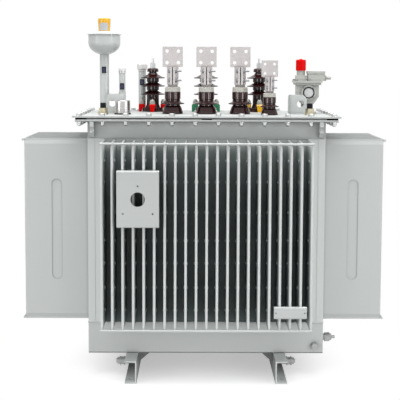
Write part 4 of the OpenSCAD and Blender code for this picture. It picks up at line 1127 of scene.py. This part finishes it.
@dataclass
class BushingBolts:
    """Clamp bolts of the low-voltage terminals and dome nuts on the high-voltage clamps."""

    clamp_share: tuple[float, float] = (0.24, 0.78)
    ear_half: float = 12.5 * MM
    ear_front: float = 9 * MM
    foot_nut: float = 12 * MM
    neutral_share: float = 0.8
    claw_count: int = 4
    claw_in: float = 19 * MM
    head: HexFastener = HexFastener(17 * MM, 8 * MM, 20 * MM, 2 * MM)
    nut: HexFastener = HexFastener(17 * MM, 9 * MM, 20 * MM, 2 * MM, 10 * MM, 22 * MM)
    dome: DomeNut = DomeNut(24 * MM, 24 * MM, 28 * MM, 2 * MM)

    def build(self, wardrobe: Wardrobe) -> None:
        """Puts the bolts on all bushings.

        Args:
            wardrobe: The finishes.
        """
        heads, nuts = Places(), Places()
        for phase in "abc":
            self.clamp(f"lv_terminal_{phase}", 1.0, heads, nuts)
        steel = wardrobe.special[BOLT_STEEL]
        self.head.put("lv_clamp_heads", heads, steel, Slot.ZINC)
        self.nut.put("lv_clamp_nuts", nuts, steel, Slot.ZINC)
        self.neutral(steel)
        domes = Places()
        for phase in "abc":
            self.claws(f"hv_clamps_{phase}", domes)
        self.dome.put("hv_clamp_dome_nuts", domes, wardrobe.materials[Slot.CREAM], Slot.CREAM)

    def clamp(self, node: str, scale: float, heads: Places, nuts: Places) -> None:
        """Adds the two bolts of one clamp.

        Args:
            node: The terminal's node.
            scale: Size against a phase terminal.
            heads: Receives the places of the heads.
            nuts: Receives the places of the nuts.
        """
        low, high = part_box(node)
        palm = high.x - low.x
        x = (low.x + high.x) / 2
        y = low.y + self.ear_front * scale
        nut_top = low.z + self.foot_nut * scale
        clamp_h = high.z - palm - nut_top
        for share in self.clamp_share:
            z = nut_top + clamp_h * share
            heads.add((x - self.ear_half * scale, y, z), Side.LEFT)
            nuts.add((x + self.ear_half * scale, y, z), Side.RIGHT)

    def neutral(self, material: bpy.types.Material) -> None:
        """Puts the smaller bolts on the neutral clamp.

        Args:
            material: Finish of the bolts.
        """
        share = self.neutral_share
        heads, nuts = Places(), Places()
        self.clamp("lv_terminal_n", share, heads, nuts)
        self.head.scaled(share).put("neutral_clamp_heads", heads, material, Slot.ZINC)
        self.nut.scaled(share).put("neutral_clamp_nuts", nuts, material, Slot.ZINC)

    def claws(self, node: str, domes: Places) -> None:
        """Adds the dome nuts of one set of clamps.

        Args:
            node: The clamps' node.
            domes: Receives the places of the nuts.
        """
        low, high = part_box(node)
        middle = (low + high) / 2
        reach = (high.x - low.x) / 2 - self.claw_in
        for cosine, sine in turns(self.claw_count):
            domes.add((middle.x + reach * cosine, middle.y + reach * sine, high.z), Side.UP)


@dataclass
class RelayScrews:
    """Screws of the relay's head, sight glass and terminal box."""

    corner_in: float = 10 * MM
    plate_rise: float = 21 * MM
    ring_out: float = 5 * MM
    ring_count: int = 4
    screw: HexFastener = HexFastener(13 * MM, 6 * MM, 16 * MM, 1.5 * MM)
    small: HexFastener = HexFastener(8 * MM, 4 * MM, 10 * MM, 1 * MM)

    def build(self, wardrobe: Wardrobe) -> None:
        """Puts the screws on the relay.

        Args:
            wardrobe: The finishes.
        """
        body_low, body_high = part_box("relay_body")
        head_low, head_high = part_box("relay_head")
        bezel_low, bezel_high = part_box("relay_bezel")
        glass = (bezel_low + bezel_high) / 2
        plate_top = body_high.z + self.plate_rise
        big, small = Places(), Places()
        for y in (head_low.y + self.corner_in, head_high.y - self.corner_in):
            for x in (head_low.x + self.corner_in, glass.x):
                big.add((x, y, plate_top), Side.UP)
        ring = (bezel_high.x - bezel_low.x) / 2 + self.ring_out
        for cosine, sine in turns(self.ring_count, 0.5):
            small.add((glass.x + ring * cosine, body_low.y, glass.z + ring * sine), Side.FRONT)
        steel = wardrobe.special[BOLT_STEEL]
        self.screw.put("relay_plate_screws", big, steel, Slot.ZINC)
        self.small.put("sight_glass_screws", small, steel, Slot.ZINC)


@dataclass
class SealCord:
    """Dark cord that shows between the cover and the stop bars of the flange."""

    inset: float = 1.2 * MM
    depth: float = 2.5 * MM
    height: float = 4.2 * MM
    middle: float = 25 * MM
    end: float = 57 * MM
    block_height: float = 8.4 * MM
    block_gap: float = 1 * MM
    cover_gap: float = 0.2 * MM
    end_blocks: tuple[tuple[float, float], ...] = ((4 * MM, 27 * MM), (31 * MM, 55 * MM))

    def build(self, wardrobe: Wardrobe) -> None:
        """Lays the cord along all four sides.

        Args:
            wardrobe: The finishes.
        """
        low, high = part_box("tank_flange")
        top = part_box("cover_plate")[0].z - self.cover_gap
        boxes: list[tuple[Point, Point]] = []
        for sign in (-1, 1):
            for outer, length, along_x in ((high.y, high.x, True), (high.x, high.y, False)):
                first, last = self.middle, length - self.end
                near, far = sorted((sign * (outer - self.inset), sign * (outer - self.inset - self.depth)))
                runs = [(first, last, self.height), (-last, -first, self.height)]
                runs.append((self.block_gap - first, first - self.block_gap, self.block_height))
                for out, back in self.end_blocks:
                    runs += [(length - back, length - out, self.block_height),
                             (out - length, back - length, self.block_height)]
                for start, stop, tall in runs:
                    if along_x:
                        boxes.append(((start, near, top - tall), (stop, far, top)))
                    elif stop < length - self.inset - self.depth and start > self.inset + self.depth - length:
                        boxes.append(((near, start, top - tall), (far, stop, top)))
        box_piece("seal_cord", boxes, wardrobe.materials[Slot.RUBBER])


@dataclass
class WindowBars:
    """Dark bars beside the level windows of the three pipes."""

    panes: tuple[Point, ...] = ((-0.528, 0.0045, 1.520), (-0.436, 0.012, 1.435), (-0.344, 0.2285, 1.453))
    half_w: float = 11 * MM
    half_h: float = 14 * MM
    bar: float = 4 * MM
    out: float = 2 * MM

    def build(self, wardrobe: Wardrobe) -> None:
        """Lays two upright and two level bars around each window.

        Args:
            wardrobe: The finishes.
        """
        boxes: list[tuple[Point, Point]] = []
        for x, y, z in self.panes:
            back, front = y + self.out, y - self.out
            for side in (-1, 1):
                centre = x + side * (self.half_w - self.bar / 2)
                rail = z + side * self.half_h
                boxes.append(((centre - self.bar / 2, front, z - self.half_h - self.bar / 2),
                              (centre + self.bar / 2, back, z + self.half_h + self.bar / 2)))
                boxes.append(((x - self.half_w + self.bar, front, rail - self.bar / 2),
                              (x + self.half_w - self.bar, back, rail + self.bar / 2)))
        box_piece("window_bars", boxes, wardrobe.materials[Slot.BLACK])


@dataclass
class GripRibs:
    """Ribs round the red cap on the relay, with a small knob on its top."""

    count: int = 16
    width: float = 5 * MM
    out: float = 0.6 * MM
    margin: float = 5 * MM
    knob: RepeatedShape = RepeatedShape(20 * MM, 4 * MM)

    def build(self, wardrobe: Wardrobe) -> None:
        """Stands the ribs round the cap and the knob on it.

        Args:
            wardrobe: The finishes.
        """
        low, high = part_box("relay_cap")
        middle = (low + high) / 2
        radius = (high.x - low.x) / 2 - self.width / 2 + self.out
        places = Places()
        for cosine, sine in turns(self.count, 0.5):
            places.add((middle.x + radius * cosine, middle.y + radius * sine, low.z + self.margin), Side.UP)
        rib = GripRib(self.width, high.z - low.z - 2 * self.margin)
        rib.put("relay_cap_ribs", places, wardrobe.materials[Slot.RED], Slot.RED)
        top = Places()
        top.add((middle.x, middle.y, high.z), Side.UP)
        self.knob.put("relay_cap_knob", top, wardrobe.materials[Slot.RED], Slot.RED)


@dataclass
class CapPanel:
    """Pale arched panel on the front of the bowl's cap."""

    half_angle: float = math.radians(44)
    low_share: float = 0.06
    high_share: float = 0.66
    arch_share: float = 0.16
    foot_share: float = 0.894
    thick: float = 0.8 * MM
    columns: int = 14

    def build(self, wardrobe: Wardrobe) -> None:
        """Lays the panel on the cap's cone.

        Args:
            wardrobe: The finishes.
        """
        low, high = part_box("bowl_cap")
        middle = (low + high) / 2
        tall = high.z - low.z
        points: list[Point] = []
        for column in range(self.columns + 1):
            turn = 2 * column / self.columns - 1
            arch = math.sqrt(max(0.0, 1 - turn * turn))
            angle = turn * self.half_angle
            for share in (self.low_share, self.high_share - self.arch_share * (1 - arch)):
                for out in (self.thick, -self.thick):
                    radius = self.radius(low, high, share) + out
                    points.append((middle.x + radius * math.sin(angle), middle.y - radius * math.cos(angle),
                                   low.z + tall * share))
        faces: list[tuple[int, ...]] = [(0, 2, 3, 1)]
        for column in range(self.columns):
            a, b = 4 * column, 4 * column + 4
            faces += [(a, b, b + 2, a + 2), (a + 1, a + 3, b + 3, b + 1), (a, a + 1, b + 1, b),
                      (a + 2, b + 2, b + 3, a + 3)]
        last = 4 * self.columns
        faces.append((last, last + 1, last + 3, last + 2))
        mesh = bpy.data.meshes.new("cap_panel")
        mesh.from_pydata(points, [], faces)
        plain_piece("cap_panel", mesh, wardrobe.special[PANEL])

    def radius(self, low: Vector, high: Vector, share: float) -> float:
        """Radius of the cap at a share of its height."""
        return (high.x - low.x) / 2 * (self.foot_share + (1.0 - self.foot_share) * share)


@dataclass
class WeldBeads:
    """Rippled weld beads along the seams of the tank and at the feet of the fittings."""

    radius: float = 3.5 * MM
    ripple: float = 0.6 * MM
    step: float = 6 * MM
    sides: int = 8
    ripple_waves: float = 130.0
    ripple_detail: float = 1.0
    ring_points: int = 24
    lug_seam: float = 80 * MM

    def tree(self, material: bpy.types.Material) -> GeometryTree:
        """Builds the tree that runs a rippled bead along edges.

        Args:
            material: Finish of the beads.

        Returns:
            The tree, with the bead's sizes as inputs.
        """
        tree = GeometryTree("weld_bead")
        radius, ripple = tree.size("Radius"), tree.size("Ripple")
        curve = tree.add("GeometryNodeMeshToCurve")
        tree.link(tree.source.outputs["Geometry"], curve.inputs["Mesh"])
        dense = tree.add("GeometryNodeResampleCurve", mode="LENGTH")
        tree.fill(dense, {"Length": self.step, "Curve": curve.outputs["Curve"]})
        profile = tree.add("GeometryNodeCurvePrimitiveCircle")
        tree.fill(profile, {"Resolution": self.sides, "Radius": radius})
        tube = tree.add("GeometryNodeCurveToMesh")
        tree.fill(tube, {"Fill Caps": True, "Curve": dense.outputs["Curve"],
                         "Profile Curve": profile.outputs["Curve"]})
        noise = tree.add("ShaderNodeTexNoise")
        tree.fill(noise, {"Scale": self.ripple_waves, "Detail": self.ripple_detail})
        swing = tree.product(tree.maths("SUBTRACT", noise.outputs["Fac"], 0.5), ripple)
        push = tree.scaled(tree.add("GeometryNodeInputNormal").outputs[0], swing)
        move = tree.add("GeometryNodeSetPosition")
        tree.fill(move, {"Geometry": tube.outputs["Mesh"], "Offset": push})
        tree.finish(move.outputs["Geometry"], material, smooth=True)
        return tree

    @staticmethod
    def loop(low: Vector, high: Vector, z: float) -> list[Point]:
        """Corners of a level rectangle, closed.

        Args:
            low: Lowest corner of a box.
            high: Highest corner of the box.
            z: Height of the rectangle.

        Returns:
            Five points.
        """
        return [(low.x, low.y, z), (high.x, low.y, z), (high.x, high.y, z), (low.x, high.y, z),
                (low.x, low.y, z)]

    def circle(self, node: str) -> list[Point]:
        """Points round the foot of an upright round node.

        Args:
            node: The node.

        Returns:
            The closed ring of points.
        """
        low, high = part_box(node)
        middle = (low + high) / 2
        radius = min(high.x - low.x, high.y - low.y) / 2
        ring = [(middle.x + radius * cosine, middle.y + radius * sine, low.z)
                for cosine, sine in turns(self.ring_points)]
        return [*ring, ring[0]]

    def paths(self) -> list[list[Point]]:
        """Lines that the beads follow.

        Returns:
            Lists of points.
        """
        skirt_low, skirt_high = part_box("lower_frame")
        band_low, band_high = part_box("upper_frame")
        lines = [self.loop(skirt_low, skirt_high, skirt_high.z), self.loop(band_low, band_high, band_low.z),
                 self.loop(band_low, band_high, band_high.z)]
        for side in ("left", "right"):
            low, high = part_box(f"{side}_base_rail")
            for x in (low.x, high.x):
                lines.append([(x, skirt_low.y, skirt_low.z), (x, skirt_high.y, skirt_low.z)])
        lines.append(self.circle("filler_pipe"))
        low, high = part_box("lifting_lugs")
        for sign in (-1, 1):
            lines.append([(sign * high.x, low.y, low.z), (sign * (high.x - self.lug_seam), low.y, low.z)])
        return lines

    def build(self, wardrobe: Wardrobe) -> None:
        """Lays the beads as one piece.

        Args:
            wardrobe: The finishes.
        """
        points: list[Point] = []
        edges: list[tuple[int, int]] = []
        for line in self.paths():
            start = len(points)
            points += line
            edges += [(start + i, start + i + 1) for i in range(len(line) - 1)]
        mesh = bpy.data.meshes.new("weld_beads")
        mesh.from_pydata(points, edges, [])
        bake("weld_beads", mesh, self.tree(wardrobe.materials[Slot.PAINT]),
             {"Radius": self.radius, "Ripple": self.ripple})


@dataclass
class FinDimples:
    """Round spacer pressings on the sides of the front and back fins."""

    fin_half: float = 6 * MM
    depth: float = 90 * MM
    heights: tuple[float, ...] = (0.10, 0.22, 0.35, 0.47, 0.62, 0.78, 0.89)
    shape: RepeatedShape = RepeatedShape(18 * MM, 5 * MM)

    def build(self, wardrobe: Wardrobe) -> None:
        """Puts the pressings on both sides of the inner fins.

        Args:
            wardrobe: The finishes.
        """
        places = Places()
        outer = FIN_COUNT // 2
        for node, sign in (("front_fin_wall", -1), ("back_fin_wall", 1)):
            low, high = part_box(node)
            y = low.y + self.depth if sign < 0 else high.y - self.depth
            rows = [low.z + (high.z - low.z) * share for share in self.heights]
            for step in range(-outer, outer + 1):
                for side in (-1, 1):
                    if abs(step) == outer and side * step > 0:
                        continue
                    x = step * FIN_PITCH + side * self.fin_half
                    for z in rows:
                        places.add((x, y, z), Side.RIGHT if side > 0 else Side.LEFT)
        self.shape.put("fin_dimples", places, wardrobe.special[FIN_PAINT], Slot.PAINT)


@dataclass(frozen=True)
class Lamp:
    """Soft rectangular lamp."""

    name: str
    place: Point
    target: Point
    size: tuple[float, float]
    power: float
    spread_deg: float = 180.0

    def build(self) -> bpy.types.Object:
        """Hangs the lamp.

        Returns:
            The lamp's object.
        """
        data = bpy.data.lights.new(self.name, "AREA")
        data.shape = "RECTANGLE"
        data.size, data.size_y = self.size
        data.energy = self.power
        data.spread = math.radians(self.spread_deg)
        lamp = placed(self.name, data)
        aim = Vector(self.target) - Vector(self.place)
        lamp.matrix_world = Matrix.Translation(self.place) @ aim.to_track_quat("-Z", "Y").to_matrix().to_4x4()
        return lamp


@dataclass
class Studio:
    """Pale floor, soft light and the camera of the photograph."""

    camera_place: Point = (-0.056, -5.225, 1.552)
    pitch_deg: float = 4.873
    yaw_deg: float = 0.273
    roll_deg: float = 0.215
    focal_px: float = 1009.3
    centre_up_px: float = 50.0
    sensor: float = 36.0
    floor_side: float = 60.0
    floor_grey: float = 0.80
    floor_roughness: float = 0.9
    floor_specular: float = 0.1
    floor_glow: float = 0.43
    floor_fade: tuple[float, float] = (0.50, 1.15)
    floor_squeeze: float = 1.5
    bounce: float = 0.44
    sky: float = 0.48
    lamps: tuple[Lamp, ...] = (
        Lamp("overhead", (0.0, -0.9, 4.8), (0.0, 0.0, 1.0), (4.5, 3.5), 200.0),
        Lamp("left_strip", (-4.1, -3.0, 1.6), (0.0, -0.2, 0.9), (0.35, 2.2), 28.0),
        Lamp("right_strip", (4.1, -3.0, 1.6), (0.0, -0.2, 0.9), (0.35, 2.2), 36.0),
        Lamp("left_low", (-2.2, -3.2, 0.45), (-0.65, -0.4, 0.2), (1.4, 0.6), 2.4, 60.0),
        Lamp("right_low", (2.2, -3.2, 0.45), (0.65, -0.4, 0.2), (1.4, 0.6), 2.6, 60.0))
    glint_lamps: tuple[Lamp, ...] = (
        Lamp("left_glint", (-2.4, -3.6, 1.5), (0.0, -0.1, 1.4), (0.5, 0.8), 20.0),
        Lamp("right_glint", (2.4, -3.6, 1.5), (0.0, -0.1, 1.4), (0.5, 0.8), 20.0))

    def camera(self) -> None:
        """Places the camera."""
        data = bpy.data.cameras.new("camera")
        data.sensor_width = self.sensor
        data.lens = self.focal_px * self.sensor / IMAGE_SIDE
        data.shift_y = -self.centre_up_px / IMAGE_SIDE
        camera = placed("camera", data)
        pitch, yaw, roll = (math.radians(a) for a in (self.pitch_deg, self.yaw_deg, self.roll_deg))
        forward = Vector((math.sin(yaw) * math.cos(pitch), math.cos(yaw) * math.cos(pitch), -math.sin(pitch)))
        level = Vector((math.cos(yaw), -math.sin(yaw), 0.0))
        rise = level.cross(forward)
        right = level * math.cos(roll) + rise * math.sin(roll)
        up = rise * math.cos(roll) - level * math.sin(roll)
        turn = Matrix((right, up, -forward)).transposed()
        camera.matrix_world = Matrix.Translation(self.camera_place) @ turn.to_4x4()
        bpy.context.scene.camera = camera

    def floor(self) -> None:
        """Lays the pale floor."""
        half = self.floor_side / 2
        mesh = bpy.data.meshes.new("floor")
        mesh.from_pydata([(-half, -half, 0), (half, -half, 0), (half, half, 0), (-half, half, 0)], [],
                         [(0, 1, 2, 3)])
        floor = placed("floor", mesh)
        mesh.materials.append(self.floor_material())

    def floor_material(self) -> bpy.types.Material:
        """Builds the floor's finish: matt white that runs out into the white background.

        Returns:
            The finished material.
        """
        material, tree, shader = new_material("pale_floor")
        seen = tree.seen()
        tree.fill(shader, {"Base Color": (*[self.floor_grey] * 3, 1.0), "Roughness": self.floor_roughness,
                           "Specular IOR Level": self.floor_specular, "Emission Color": WHITE,
                           "Emission Strength": tree.product(seen, self.floor_glow)})
        far = tree.add("ShaderNodeEmission")
        tree.link(tree.maths("MULTIPLY_ADD", seen, 1.0 - self.bounce, self.bounce), far.inputs["Strength"])
        squeeze = tree.add("ShaderNodeVectorMath", operation="MULTIPLY")
        squeeze.inputs[1].default_value = (self.floor_squeeze, 1.0, 1.0)
        tree.link(tree.place(), squeeze.inputs[0])
        length = tree.add("ShaderNodeVectorMath", operation="LENGTH")
        tree.link(squeeze.outputs[0], length.inputs[0])
        fade = tree.ramp(length.outputs["Value"], *self.floor_fade)
        shown = tree.mixed(fade, shader, far)
        tree.link(shown, material.node_tree.nodes["Material Output"].inputs["Surface"])
        return material

    def world(self) -> None:
        """Sets the soft surrounding light, with a white background for the camera."""
        world = bpy.data.worlds.new("studio")
        world.use_nodes = True
        bpy.context.scene.world = world
        tree = ShaderTree(world.node_tree)
        light = world.node_tree.nodes["Background"]
        white = tree.add("ShaderNodeBackground")
        for node, strength in ((light, self.sky), (white, 1.0)):
            tree.fill(node, {"Color": WHITE, "Strength": strength})
        shown = tree.mixed(tree.seen(), light, white)
        tree.link(shown, world.node_tree.nodes["World Output"].inputs["Surface"])

    def glints(self) -> None:
        """Hangs the lamps that show as highlights in the glazed porcelain and light nothing else."""
        glazed = bpy.data.collections.new("glazed_nodes")
        for part in frame["record"]["subparts"]:
            if Slot(part["material_slot"]) is Slot.PORCELAIN:
                glazed.objects.link(frame["nodes"][part["node"]])
        for glint in self.glint_lamps:
            lamp = glint.build()
            lamp.visible_diffuse = False
            lamp.light_linking.receiver_collection = glazed

    def build(self) -> None:
        """Builds the whole studio."""
        self.camera()
        self.floor()
        self.world()
        for lamp in self.lamps:
            lamp.build()
        self.glints()
        bpy.context.scene.view_settings.view_transform = "Standard"
        LOG.info("studio ready")


def main() -> None:
    """Builds the studio, dresses the nodes and adds the small pieces."""
    logging.basicConfig(level=logging.INFO, format="%(name)s: %(message)s")
    Studio().build()
    wardrobe = Wardrobe()
    wardrobe.dress_nodes()
    builders: list[Callable[[Wardrobe], None]] = [
        FlangeBolts().build, BushingBolts().build, RelayScrews().build, WindowBars().build, SealCord().build,
        GripRibs().build, CapPanel().build, WeldBeads().build, FinDimples().build]
    for build in builders:
        build(wardrobe)


if __name__ == "__main__":
    main()
